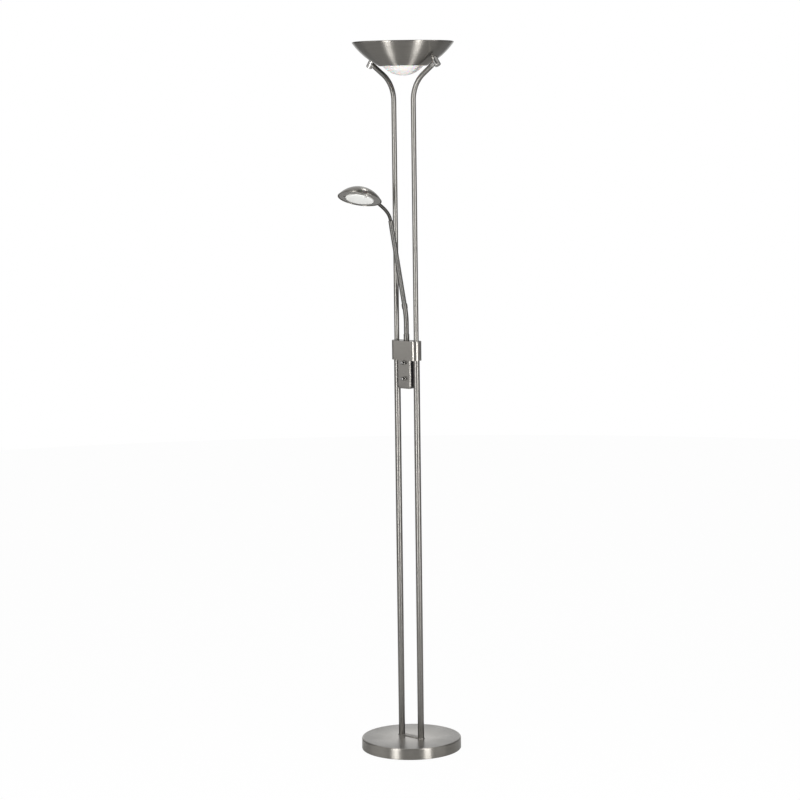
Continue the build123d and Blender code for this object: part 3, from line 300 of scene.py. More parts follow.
def stack(name: str, outline: Callable[[float], list[Point]], levels: Sequence[Point],
          place: Place = Place(), joined: bool = False) -> bpy.types.Object:
    """Piece of one outline drawn in by different amounts at different heights.

    Args:
        name: Name of the object.
        outline: Function from the inset to the outline's points.
        levels: Inset and height of each loop.
        place: Local frame of the object.
        joined: Whether the last level joins the first, as in an open band.

    Returns:
        The object.
    """
    loops = [[Vector((x, y, height)) for x, y in outline(inset)] for inset, height in levels]
    return loops_piece(name, loops, place, joined)


def sweep(name: str, path: Sequence[Vector], radius: float, segments: int) -> bpy.types.Object:
    """Round bar along a path, with closed ends.

    Args:
        name: Name of the object.
        path: Points of its middle line.
        radius: Radius of the bar.
        segments: Facets round the bar.

    Returns:
        The object.
    """
    chords = [(b - a).normalized() for a, b in zip(path, path[1:])]
    between = [(a + b).normalized() for a, b in zip(chords, chords[1:])]
    side = chords[0].orthogonal().normalized()
    loops = []
    for point, ahead in zip(path, [chords[0], *between, chords[-1]]):
        side = (side - ahead * side.dot(ahead)).normalized()
        over = ahead.cross(side)
        turns = [2 * pi * k / segments for k in range(segments)]
        loops.append([point + (side * cos(t) + over * sin(t)) * radius for t in turns])
    return loops_piece(name, loops, Place(), False, crease=60)


# ---------------------------------------------------------------- shader maths


class Socket:
    """Output of a node that takes part in Python arithmetic, one Math node for each operator."""

    def __init__(self, nodes: "Nodes", output: bpy.types.NodeSocket) -> None:
        """Wraps an output of a node tree."""
        self.nodes = nodes
        self.output = output

    def _math(self, operation: str, first: "Input", second: "Input") -> "Socket":
        """Math node of two values."""
        return self.nodes.add("ShaderNodeMath", {"operation": operation}, {0: first, 1: second})

    def __add__(self, other: "Input") -> "Socket":
        """Sum."""
        return self._math("ADD", self, other)

    __radd__ = __add__

    def __sub__(self, other: "Input") -> "Socket":
        """Difference."""
        return self._math("SUBTRACT", self, other)

    def __rsub__(self, other: "Input") -> "Socket":
        """Difference, reflected."""
        return self._math("SUBTRACT", other, self)

    def __mul__(self, other: "Input") -> "Socket":
        """Product."""
        return self._math("MULTIPLY", self, other)

    __rmul__ = __mul__

    def root(self) -> "Socket":
        """Square root."""
        return self._math("SQRT", self, 0.0)

    def __lt__(self, other: "Input") -> "Socket":
        """1 where this value is the smaller one."""
        return self._math("LESS_THAN", self, other)

    def at_least(self, other: "Input") -> "Socket":
        """Larger of two values."""
        return self._math("MAXIMUM", self, other)


class Nodes:
    """Node tree of a material or a world, and the one way in which nodes are added to it."""

    def __init__(self, tree: bpy.types.NodeTree) -> None:
        """Empties the tree."""
        self.tree = tree
        tree.nodes.clear()

    def add(self, kind: str, settings: dict | None = None, inputs: dict | None = None,
            output: int | str = 0) -> Socket:
        """Adds a node.

        Args:
            kind: The node's type.
            settings: Its properties, set first. "stops" are a ramp's positions and colours.
            inputs: Values or links of its sockets, by name or number.
            output: Which of its outputs to give back.

        Returns:
            The output, wrapped.
        """
        node = self.tree.nodes.new(kind)
        for name, value in (settings or {}).items():
            if name == "stops":
                self._set_stops(node, value)
            else:
                setattr(node, name, value)
        for name, value in (inputs or {}).items():
            if isinstance(value, Socket):
                self.tree.links.new(value.output, node.inputs[name])
            else:
                node.inputs[name].default_value = value
        return Socket(self, node.outputs[output] if len(node.outputs) else None)

    @staticmethod
    def _set_stops(node: bpy.types.Node, stops: Sequence[tuple[float, float]]) -> None:
        """Gives a ramp its stops, each a position and a grey level."""
        elements = node.color_ramp.elements
        while len(elements) < len(stops):
            elements.new(1.0)
        for element, (position, level) in zip(elements, stops):
            element.position = position
            element.color = (level, level, level, 1)

    def parts(self, vector: Socket) -> tuple[Socket, ...]:
        """X, Y and Z of a vector."""
        split = self.add("ShaderNodeSeparateXYZ", inputs={0: vector})
        return tuple(Socket(self, output) for output in split.output.node.outputs)

    def place(self) -> tuple[Socket, ...]:
        """Local X, Y and Z of the point, in metres."""
        return self.parts(self.add("ShaderNodeTexCoord", output="Object"))

    def vector(self, x: "Input", y: "Input", z: "Input") -> Socket:
        """Vector of three values."""
        return self.add("ShaderNodeCombineXYZ", inputs={0: x, 1: y, 2: z})

    def noise(self, where: Socket, scale: float, detail: float = 2.0,
              rough: float = 0.5) -> Socket:
        """Smooth noise from 0 to 1."""
        inputs = {"Vector": where, "Scale": scale, "Detail": detail, "Roughness": rough}
        return self.add("ShaderNodeTexNoise", inputs=inputs)

    def mix(self, share: "Input", first: "Input", second: "Input") -> Socket:
        """Colour between two colours."""
        inputs = {0: share, 6: first, 7: second}
        return self.add("ShaderNodeMix", {"data_type": "RGBA"}, inputs, output=2)

    def spread(self, value: Socket, low: float, high: float) -> Socket:
        """Maps values from 0.3 to 0.7, where noise mostly lies, to low up to high."""
        settings = {"clamp": True}
        inputs = {"From Min": 0.3, "From Max": 0.7, "To Min": low, "To Max": high}
        return self.add("ShaderNodeMapRange", settings, {"Value": value, **inputs})

    def bump(self, height: Socket, depth: float, strength: float) -> Socket:
        """Normal of a surface with fine relief, depth in metres."""
        inputs = {"Height": height, "Distance": depth, "Strength": strength}
        return self.add("ShaderNodeBump", inputs=inputs)


Colour = tuple[float, float, float]


def shade(colour: Colour, factor: float) -> tuple[float, float, float, float]:
    """Colour made lighter or darker by a factor, with full opacity."""
    return tuple(min(1.0, c * factor) for c in colour) + (1.0,)


@dataclass(frozen=True)
class Finish:
    """A finish with a Principled surface. Sub-classes say what changes over the surface.

    Attributes:
        name: Name of the material.
        slot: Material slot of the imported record.
        colour: Middle colour.
        roughness: Middle roughness.
        metallic: 1 for metals.
        constants: Other sockets of the Principled node and their values.
    """

    name: str
    slot: str
    colour: Colour
    roughness: float
    metallic: float = 0.0
    constants: tuple[tuple[str, float], ...] = ()

    def surface(self, nodes: Nodes) -> dict[str, "Input"]:
        """Links of the sockets that change over the surface."""
        return {}

    def material(self) -> bpy.types.Material:
        """The finish's material, made the first time that it is asked for."""
        label = f"{self.name}_finish"
        known = bpy.data.materials.get(label)
        if known is not None:
            return known
        made = bpy.data.materials.new(label)
        made.use_nodes = True
        nodes = Nodes(made.node_tree)
        inputs: dict[str, "Input"] = {
            "Base Color": (*self.colour, 1),
            "Roughness": self.roughness,
            "Metallic": self.metallic,
            **dict(self.constants),
            **self.surface(nodes),
        }
        principled = nodes.add("ShaderNodeBsdfPrincipled", inputs=inputs)
        nodes.add("ShaderNodeOutputMaterial", inputs={"Surface": principled})
        return made


@dataclass(frozen=True)
class BrushedMetal(Finish):
    """Metal brushed round its local Z axis, with fine rings, a little unevenness and, where fade
    is set, painted shade towards its rim.

    Attributes:
        unevenness: How much the colour changes from ring to ring.
        painted_rim_shade: Radii in metres between which painted shade darkens the metal outwards,
            and by how much.
        rings: Rings in a metre.
        bands: Broader bands in a metre.
        along: How fast rings and bands change along their run.
        stray: How far the rings stray from a true round.
        shares: Shares of rings, bands and stains in the tone.
        relief: Depth of the rings in millimetres.
    """

    unevenness: float = 0.16
    painted_rim_shade: tuple[float, float, float] = (0.0, 0.0, 0.0)
    rings: float = 5000.0
    bands: float = 380.0
    along: tuple[float, float] = (24.0, 14.0)
    stray: float = 9.0
    shares: tuple[float, float, float] = (0.55, 0.3, 0.15)
    relief: float = 0.012

    def surface(self, nodes: Nodes) -> dict[str, "Input"]:
        """Rings that follow the turning, long and thin, with broader bands under them, and painted
        shade towards the rim where fade is set.
        """
        x, y, z = nodes.place()
        reach = (x * x + y * y).root()
        across, up = reach * self.rings + x * self.stray, z * self.rings + y * self.stray
        fine = nodes.noise(nodes.vector(across, up, (x + y) * self.along[0]), 0.9, 3.0, 0.6)
        across, up = reach * self.bands, z * self.bands
        broad = nodes.noise(nodes.vector(across, up, (x - y) * self.along[1]), 1.0, 2.0)
        stain = nodes.noise(nodes.vector(x, y, z), 23.0, 3.0)
        ring_share, band_share, stain_share = self.shares
        tone = nodes.spread(fine, 0.0, ring_share) + nodes.spread(broad, 0.0, band_share)
        tone = tone + nodes.spread(stain, 0.0, stain_share)
        low = shade(self.colour, 1 - self.unevenness)
        high = shade(self.colour, 1 + self.unevenness)
        colour = nodes.mix(tone, low, high)
        # Painted shade: towards the rim the colour is mixed towards black, standing in for the
        # duller reflections there.
        near, far, depth = self.painted_rim_shade
        if depth:
            inputs = {"Value": reach, "From Min": near, "From Max": far}
            outward = nodes.add("ShaderNodeMapRange", {"interpolation_type": "SMOOTHSTEP"}, inputs)
            dull = outward * (reach < far) * depth
            colour = nodes.mix(dull, colour, (0, 0, 0, 1))
        rough = nodes.spread(fine, -0.05, 0.05) + nodes.spread(stain, -0.03, 0.03) + self.roughness
        return {
            "Base Color": colour,
            "Roughness": rough,
            "Normal": nodes.bump(fine, self.relief * MM, 0.5),
        }


@dataclass(frozen=True)
class BrightMetal(Finish):
    """Smooth plated metal with faint wiping marks.

    Attributes:
        marks: Wiping marks in a metre.
        stretch: Their size across, as a share of their length along local Z.
        lighten: Tone of the dark and the light marks.
    """

    marks: float = 46.0
    stretch: float = 0.3
    lighten: tuple[float, float] = (0.93, 1.06)

    def surface(self, nodes: Nodes) -> dict[str, "Input"]:
        """Soft smudges in the gloss and the tone, drawn out along local Z."""
        x, y, z = nodes.place()
        smudge = nodes.noise(nodes.vector(x, y, z * self.stretch), self.marks, 4.0, 0.6)
        low, high = (shade(self.colour, factor) for factor in self.lighten)
        return {
            "Base Color": nodes.mix(nodes.spread(smudge, 0.0, 1.0), low, high),
            "Roughness": nodes.spread(smudge, -0.025, 0.025) + self.roughness,
        }


@dataclass(frozen=True)
class HoseMetal(Finish):
    """Wound hose whose grooves carry painted shade and more roughness, with specks of wear over
    it.

    Attributes:
        crest: Radius of the ribs in millimetres.
        groove: Radius at which the painted shade in the grooves is darkest.
        dull: How much rougher the grooves are than the ribs.
        specks: Specks in a metre.
        speck_share: Share of the specks, against the painted groove shade, in the tone.
        relief: Height of the specks in millimetres.
        lighten: Tone of the painted groove shade and of the ribs.
        origin: Point on the hose's middle line, in millimetres.
        axis: Direction of the hose.
    """

    crest: float = 6.3
    groove: float = 5.5
    dull: float = 0.2
    specks: float = 700.0
    speck_share: float = 0.15
    relief: float = 0.01
    lighten: tuple[float, float] = (0.35, 1.12)
    origin: Vector = Vector((0, 0, 0))
    axis: Vector = UP

    def surface(self, nodes: Nodes) -> dict[str, "Input"]:
        """Painted shade in the grooves, by the distance from the hose's middle line, with specks
        of wear.
        """
        point = nodes.add("ShaderNodeTexCoord", output="Object")
        inputs = {0: point, 1: tuple(self.origin * MM)}
        offset = nodes.add("ShaderNodeVectorMath", {"operation": "SUBTRACT"}, inputs)
        inputs = {0: offset, 1: tuple(self.axis)}
        beside = nodes.add("ShaderNodeVectorMath", {"operation": "CROSS_PRODUCT"}, inputs)
        settings = {"operation": "LENGTH"}
        reach = nodes.add("ShaderNodeVectorMath", settings, {0: beside}, output="Value")
        # Painted shade: the colour darkens from the ribs down into the grooves.
        inputs = {"Value": reach, "From Min": self.groove * MM, "From Max": self.crest * MM}
        rise = nodes.add("ShaderNodeMapRange", {"clamp": True}, inputs)
        specks = nodes.noise(point, self.specks, 2.0)
        wear_and_groove_shade = rise * (1 - self.speck_share) + nodes.spread(specks, 0.0, self.speck_share)
        low, high = (shade(self.colour, factor) for factor in self.lighten)
        return {
            "Base Color": nodes.mix(wear_and_groove_shade, low, high),
            "Roughness": self.roughness + self.dull - wear_and_groove_shade * self.dull,
            "Normal": nodes.bump(specks, self.relief * MM, 0.3),
        }


@dataclass(frozen=True)
class GrainyFinish(Finish):
    """Cast, moulded, pressed or plated stuff with a grain of one size.

    Attributes:
        grain: Size of the grain in millimetres.
        relief: Height of the grain in millimetres.
        unevenness: How much the colour changes.
        clouds: Size of the broader patches, in grains.
    """

    grain: float = 0.8
    relief: float = 0.05
    unevenness: float = 0.12
    clouds: float = 12.5

    def surface(self, nodes: Nodes) -> dict[str, "Input"]:
        """Grain in the relief, the gloss and, more faintly, the colour."""
        point = nodes.add("ShaderNodeTexCoord", output="Object")
        grain = nodes.noise(point, 1 / (self.grain * MM), 3.0, 0.6)
        cloud = nodes.noise(point, 1 / (self.clouds * self.grain * MM), 2.0)
        tone = nodes.spread(grain, 0.0, 0.6) + nodes.spread(cloud, 0.0, 0.4)
        low = shade(self.colour, 1 - self.unevenness)
        high = shade(self.colour, 1 + self.unevenness)
        return {
            "Base Color": nodes.mix(tone, low, high),
            "Roughness": nodes.spread(grain, -0.06, 0.06) + self.roughness,
            "Normal": nodes.bump(grain, self.relief * MM, 0.6),
        }


ACROSS_RINGS = (("Anisotropic", 1.0), ("Anisotropic Rotation", 0.25))


class Finishes:
    """The lamp's finishes. Where rings are brushed round, highlights spread across them."""

    # The nickel finishes are lit and shaded copies of one metal: each part's colour is lightened
    # or darkened as painted light and shade, and all are kept far darker than nickel as painted
    # shade, so that the metal mirrors darker surroundings than the pale floor.
    SATIN = BrushedMetal(
        "satin_nickel", "satin_nickel", (0.235, 0.224, 0.206), 0.37, 1.0, ACROSS_RINGS
    )
    BASE = BrushedMetal(
        "satin_nickel_base", "satin_nickel", (0.26, 0.248, 0.228), 0.37, 1.0, ACROSS_RINGS
    )
    # Painted light: the collar's copy is lighter, for brighter highlights.
    SHEET = BrushedMetal(
        "satin_nickel_sheet", "satin_nickel", (0.32, 0.306, 0.284), 0.37, 1.0, ACROSS_RINGS
    )
    # The cover's flat middle, whose colour carries painted shade that darkens it towards its rim.
    TOP = BrushedMetal(
        "satin_nickel_top", "satin_nickel", (0.27, 0.258, 0.238), 0.31, 1.0,
        painted_rim_shade=(0.02, 0.124, 0.5)
    )
    FACE = BrightMetal("satin_nickel_face", "satin_nickel", (0.24, 0.23, 0.215), 0.26, 1.0)
    # Painted shade: the knobs' chrome is darkened, standing in for their shaded sides.
    KNOB = BrightMetal("knob_chrome_painted_shade", "bright_nickel", (0.26, 0.255, 0.25), 0.16, 1.0)
    TUBE = BrightMetal("satin_nickel_tube", "bright_nickel", (0.165, 0.159, 0.149), 0.31, 1.0)
    # Painted shade: the thin tube's nickel is darkened almost to black.
    THIN = BrightMetal("nickel_tube_painted_shade", "bright_nickel", (0.042, 0.040, 0.037), 0.28, 1.0)
    # Painted shade: the arm's nickel is darkened.
    ARM = BrightMetal("nickel_arm_painted_shade", "bright_nickel", (0.105, 0.101, 0.094), 0.33, 1.0)
    DOME = BrightMetal("satin_nickel_dome", "satin_nickel", (0.2, 0.19, 0.172), 0.24, 1.0)
    BRIGHT = BrightMetal("bright_nickel", "bright_nickel", (0.36, 0.352, 0.338), 0.16, 1.0)
    HOSE = HoseMetal("wound_hose", "hose_nickel", (0.14, 0.136, 0.129), 0.28, 1.0)
    ZINC = GrainyFinish(
        "zinc_plate", "zinc_steel", (0.52, 0.53, 0.54), 0.36, 1.0, grain=0.5, relief=0.01
    )
    IRON = GrainyFinish(
        "raw_iron", "cast_iron", (0.09, 0.088, 0.085), 0.72, 0.6, grain=1.6, relief=0.25
    )
    PLASTIC = GrainyFinish(
        "black_plastic", "black_plastic", (0.018, 0.018, 0.019), 0.42, grain=0.45, relief=0.02
    )
    FELT = GrainyFinish(
        "pressed_felt", "felt", (0.03, 0.03, 0.032), 0.95, 0.0, (("Sheen Weight", 0.4),),
        grain=0.35, relief=0.3, unevenness=0.4
    )
    OPAL = GrainyFinish(
        "opal_glass", "opal_glass", (0.58, 0.572, 0.556), 0.42, 0.0,
        (("Coat Weight", 0.08), ("Coat Roughness", 0.2), ("Subsurface Weight", 0.35),
         ("Subsurface Scale", 0.01)),
        grain=0.9, relief=0.004, unevenness=0.012
    )
    FROSTED = GrainyFinish(
        "frosted_glass", "frosted_glass", (0.80, 0.80, 0.775), 0.4, 0.0,
        (("Transmission Weight", 0.25), ("Coat Weight", 0.3), ("Coat Roughness", 0.1)),
        grain=0.5, relief=0.006, unevenness=0.02
    )
    QUARTZ = GrainyFinish(
        "quartz_glass", "lamp_glass", (0.97, 0.965, 0.95), 0.04, 0.0,
        (("Transmission Weight", 1.0), ("IOR", 1.46)), grain=3.0, relief=0.004, unevenness=0.01
    )
    CERAMIC = GrainyFinish(
        "white_steatite", "ceramic", (0.78, 0.765, 0.73), 0.3, 0.0, (("Coat Weight", 0.3),),
        grain=0.7, relief=0.01, unevenness=0.04
    )
    TUNGSTEN = GrainyFinish(
        "tungsten_wire", "zinc_steel", (0.22, 0.215, 0.21), 0.4, 1.0, grain=0.2, relief=0.01
    )


def dress(piece: bpy.types.Object, finish: Finish, body: Body, *nodes: str) -> str:
    """Gives a piece its finish and its place in the frame.

    Args:
        piece: The object.
        finish: Its finish.
        body: CAD body that it rides on.
        nodes: CAD nodes that it replaces.

    Returns:
        The piece's name.
    """
    piece.data.materials.append(finish.material())
    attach(piece, body.value)
    if nodes:
        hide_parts(*nodes)
    return piece.name


class Assembly(Protocol):
    """Sub-assembly that makes and dresses its own pieces."""

    def build(self) -> list[str]:
        """Makes the pieces and gives their names."""


# ---------------------------------------------------------------- base


@dataclass
class Base:
    """Round weighted base with its spun cover, foot plate and rear bushing."""

    radius: float = 127.5
    height: float = 29.3
    sheet: float = 1.2
    edge: float = 3.5
    face: float = 122.5
    stand: float = 1.0
    hem: float = 5.0
    plate_length: float = 85.0
    plate_width: float = 20.0
    plate_thickness: float = 1.3
    bushing_height: float = 9.0
    bushing_bore: float = 3.25
    bushing_neck: float = 5.0
    bushing_head: float = 7.0
    bushing_inside: float = 4.2
    bushing_proud: float = 3.0

    def cover(self) -> bpy.types.Object:
        """Spun cover round its flat middle, with a rounded edge and a turned-in hem."""
        hem_top = self.stand + self.sheet
        inside = self.radius - self.sheet
        corners = [
            (self.face, self.height, 0),
            (self.radius, self.height, self.edge),
            (self.radius, self.stand, self.sheet),
            (self.radius - self.hem, self.stand, self.sheet / 3),
            (self.radius - self.hem, hem_top, 0),
            (inside, hem_top, 0),
            (inside, self.height - self.sheet, self.edge - self.sheet),
            (self.face, self.height - self.sheet, 0),
        ]
        outline = rounded(corners, True, 10)
        return turn("base_spun_cover", outline, segments=ROUND_FACETS, joined=True)

    def face_disc(self) -> bpy.types.Object:
        """Flat middle of the cover, with a gloss that is the same in all directions."""
        low = self.height - self.sheet
        return bar("base_cover_face", self.face, low, self.height, Place(), (0, 0), ROUND_FACETS)

    def foot_plate(self) -> bpy.types.Object:
        """Flat plate with round ends under the two poles."""
        top = self.height + self.plate_thickness
        levels = [(0, self.height), (0, top - 0.35), (0.12, top - 0.12), (0.35, top)]
        return stack("pole_foot_plate", obround(self.plate_length, self.plate_width), levels)

    def bushing(self) -> bpy.types.Object:
        """Bushing in the cover's rear, where a cord would enter."""
        bore, neck, head = self.bushing_bore, self.bushing_neck, self.bushing_head
        inside, proud = -self.bushing_inside, self.bushing_proud
        corners = [
            (bore, inside, 0), (neck, inside, 0), (neck, 0.0, 0), (head, 0.3, 0.1),
            (head - 0.3, proud, 0.9), (bore, proud, 0.9),
        ]
        place = Place(Vector((0, self.radius, self.bushing_height)), Vector((0, 1, 0)))
        return turn("cord_inlet_bushing", rounded(corners, True), place, 48, joined=True)

    def build(self) -> list[str]:
        """Makes the base's pieces and gives their names."""
        plate = self.foot_plate()
        return [
            dress(self.cover(), Finishes.BASE, Body.STAND, "base_cover"),
            dress(self.face_disc(), Finishes.TOP, Body.STAND),
            dress(plate, Finishes.SATIN, Body.STAND, "foot_plate"),
            dress(self.bushing(), Finishes.PLASTIC, Body.STAND, "cord_bushing"),
        ]


# ---------------------------------------------------------------- poles and barrels


@dataclass
class Poles:
    """Two poles that bend apart below the bowl, with the barrels and pins that hold it."""

    spacing: float = 65.0
    foot: float = 30.6
    coupler: float = 1024.5
    shoulder: float = 4.0
    lower_radius: float = 8.0
    upper_radius: float = 6.35
    bend_start: float = 1653.7
    bend_radius: float = 80.0
    bend_angle: float = 55.0
    bend_steps: int = 48
    straight_end: float = 34.7
    connector: float = 16.0
    spigot_gap: float = 2.0
    barrel_radius: float = 8.0
    barrel_length: float = 24.0
    pin_radius: float = 3.0
    pin_foot: float = 10.0
    pin_reach: float = 28.7
    pin_tail: float = 1.0
    nut_height: float = 4.0
    nut_across: float = 10.0
    strap_reach: float = 22.2
    strap_height: float = 1756.0
    strap_sheet: float = 1.5
    strap_width: float = 16.0

    def bend_end(self, side: int) -> tuple[Vector, Vector]:
        """End of a pole's bend, and the direction that the pole then runs in."""
        lean = radians(self.bend_angle)
        out = self.spacing / 2 + self.bend_radius * (1 - cos(lean))
        height = self.bend_start + self.bend_radius * sin(lean)
        return Vector((side * out, 0, height)), Vector((side * sin(lean), 0, cos(lean)))

    def lower(self, side: int, name: str) -> bpy.types.Object:
        """Thicker tube from the base to the collar."""
        place = Place(Vector((side * self.spacing / 2, 0, 0)))
        return bar(f"{name}_lower_tube", self.lower_radius, self.foot, self.coupler, place,
                   (0.3, 0.2), 64)

    def upper(self, side: int, name: str) -> bpy.types.Object:
        """Thinner tube from the collar, through its bend."""
        path = [Vector((side * self.spacing / 2, 0, self.coupler + self.shoulder))]
        for k in range(self.bend_steps + 1):
            lean = radians(self.bend_angle) * k / self.bend_steps
            out = self.spacing / 2 + self.bend_radius * (1 - cos(lean))
            path.append(Vector((side * out, 0, self.bend_start + self.bend_radius * sin(lean))))
        end, ahead = self.bend_end(side)
        path.append(end + ahead * self.straight_end)
        return sweep(f"{name}_bent_tube", path, self.upper_radius, 56)

    def spigot(self, side: int, name: str) -> bpy.types.Object:
        """Polished spigot between the bent tube and its barrel."""
        end, ahead = self.bend_end(side)
        place = Place(end + ahead * self.straight_end, ahead)
        reach = self.connector - self.spigot_gap
        return bar(f"{name}_spigot", self.upper_radius, 0, reach, place, (0.35, 0.3))

    def barrel_place(self, side: int) -> Place:
        """Frame of a barrel, with local Z along its pin."""
        end, ahead = self.bend_end(side)
        centre = end + ahead * (self.straight_end + self.connector)
        return Place(centre, Vector((-side * ahead.z, 0, abs(ahead.x))))

    def barrel(self, side: int, name: str) -> bpy.types.Object:
        """Polished barrel across the end of the pole."""
        half = self.barrel_length / 2
        place = self.barrel_place(side)
        return bar(f"{name}_barrel", self.barrel_radius, -half, half, place, (1.1, 1.1))

    def pin(self, side: int, name: str) -> bpy.types.Object:
        """Pin from the barrel through the bowl's wall."""
        place = self.barrel_place(side)
        return bar(f"{name}_pin", self.pin_radius, -self.pin_foot, self.pin_reach, place,
                   (0.3, 0.5), 36)

    def nut(self, side: int, name: str) -> bpy.types.Object:
        """Six-sided nut near the end of a pin, inside the bowl."""
        corner = self.nut_across / 2 / cos(pi / 6)
        top = self.pin_reach - self.pin_tail
        low = top - self.nut_height
        outline = [(0, low), (corner - 0.4, low), (corner, low + 0.3)]
        outline += [(corner, top - 0.3), (corner - 0.4, top), (0, top)]
        return turn(f"{name}_bowl_nut", outline, self.barrel_place(side), 6)

    def strap(self) -> bpy.types.Object:
        """Bent strap across the bowl, with an ear on each pin, that carries the lampholders."""
        ahead = self.bend_end(1)[1]
        barrel = self.barrel_place(1)
        half: list[tuple[Vector, Vector]] = []
        for sheet in (0.0, self.strap_sheet):
            ear = barrel.origin + barrel.axis * (self.strap_reach + sheet)
            knee = ear + ahead * ((self.strap_height + sheet - ear.z) / ahead.z)
            half.append((ear + ahead * self.strap_width / 2, knee))
        (tip, knee), (inner_tip, inner_knee) = half
        right = [(tip.x, tip.z, 0.3), (knee.x, knee.z, 2.0)]
        inside = [(inner_knee.x, inner_knee.z, 0.8), (inner_tip.x, inner_tip.z, 0.3)]
        outline = right + [(-x, z, r) for x, z, r in reversed(right)]
        outline += [(-x, z, r) for x, z, r in reversed(inside)] + inside
        line = rounded(outline, True, 4)
        reach = self.strap_width / 2
        loops = [[Vector((x, across, z)) for x, z in line] for across in (-reach, reach)]
        return loops_piece("bowl_strap", loops, Place(), False)

    def build(self) -> list[str]:
        """Makes the pieces of both poles and gives their names."""
        made = [dress(self.strap(), Finishes.ZINC, Body.STAND, "lamp_bracket")]
        twins = (
            (self.spigot, Finishes.BRIGHT, "pole_connectors"),
            (self.barrel, Finishes.BRIGHT, "bowl_barrels"),
            (self.pin, Finishes.BRIGHT, "bowl_pins"),
            (self.nut, Finishes.ZINC, "bowl_nuts"),
        )
        for side, name in ((-1, "left"), (1, "right")):
            for make, kind in ((self.lower, "lower_pole"), (self.upper, "upper_pole")):
                made.append(dress(make(side, name), Finishes.TUBE, Body.STAND, f"{name}_{kind}"))
            for make, finish, node in twins:
                nodes = [node] if side < 0 else []
                made.append(dress(make(side, name), finish, Body.STAND, *nodes))
        return made


# ---------------------------------------------------------------- uplighter


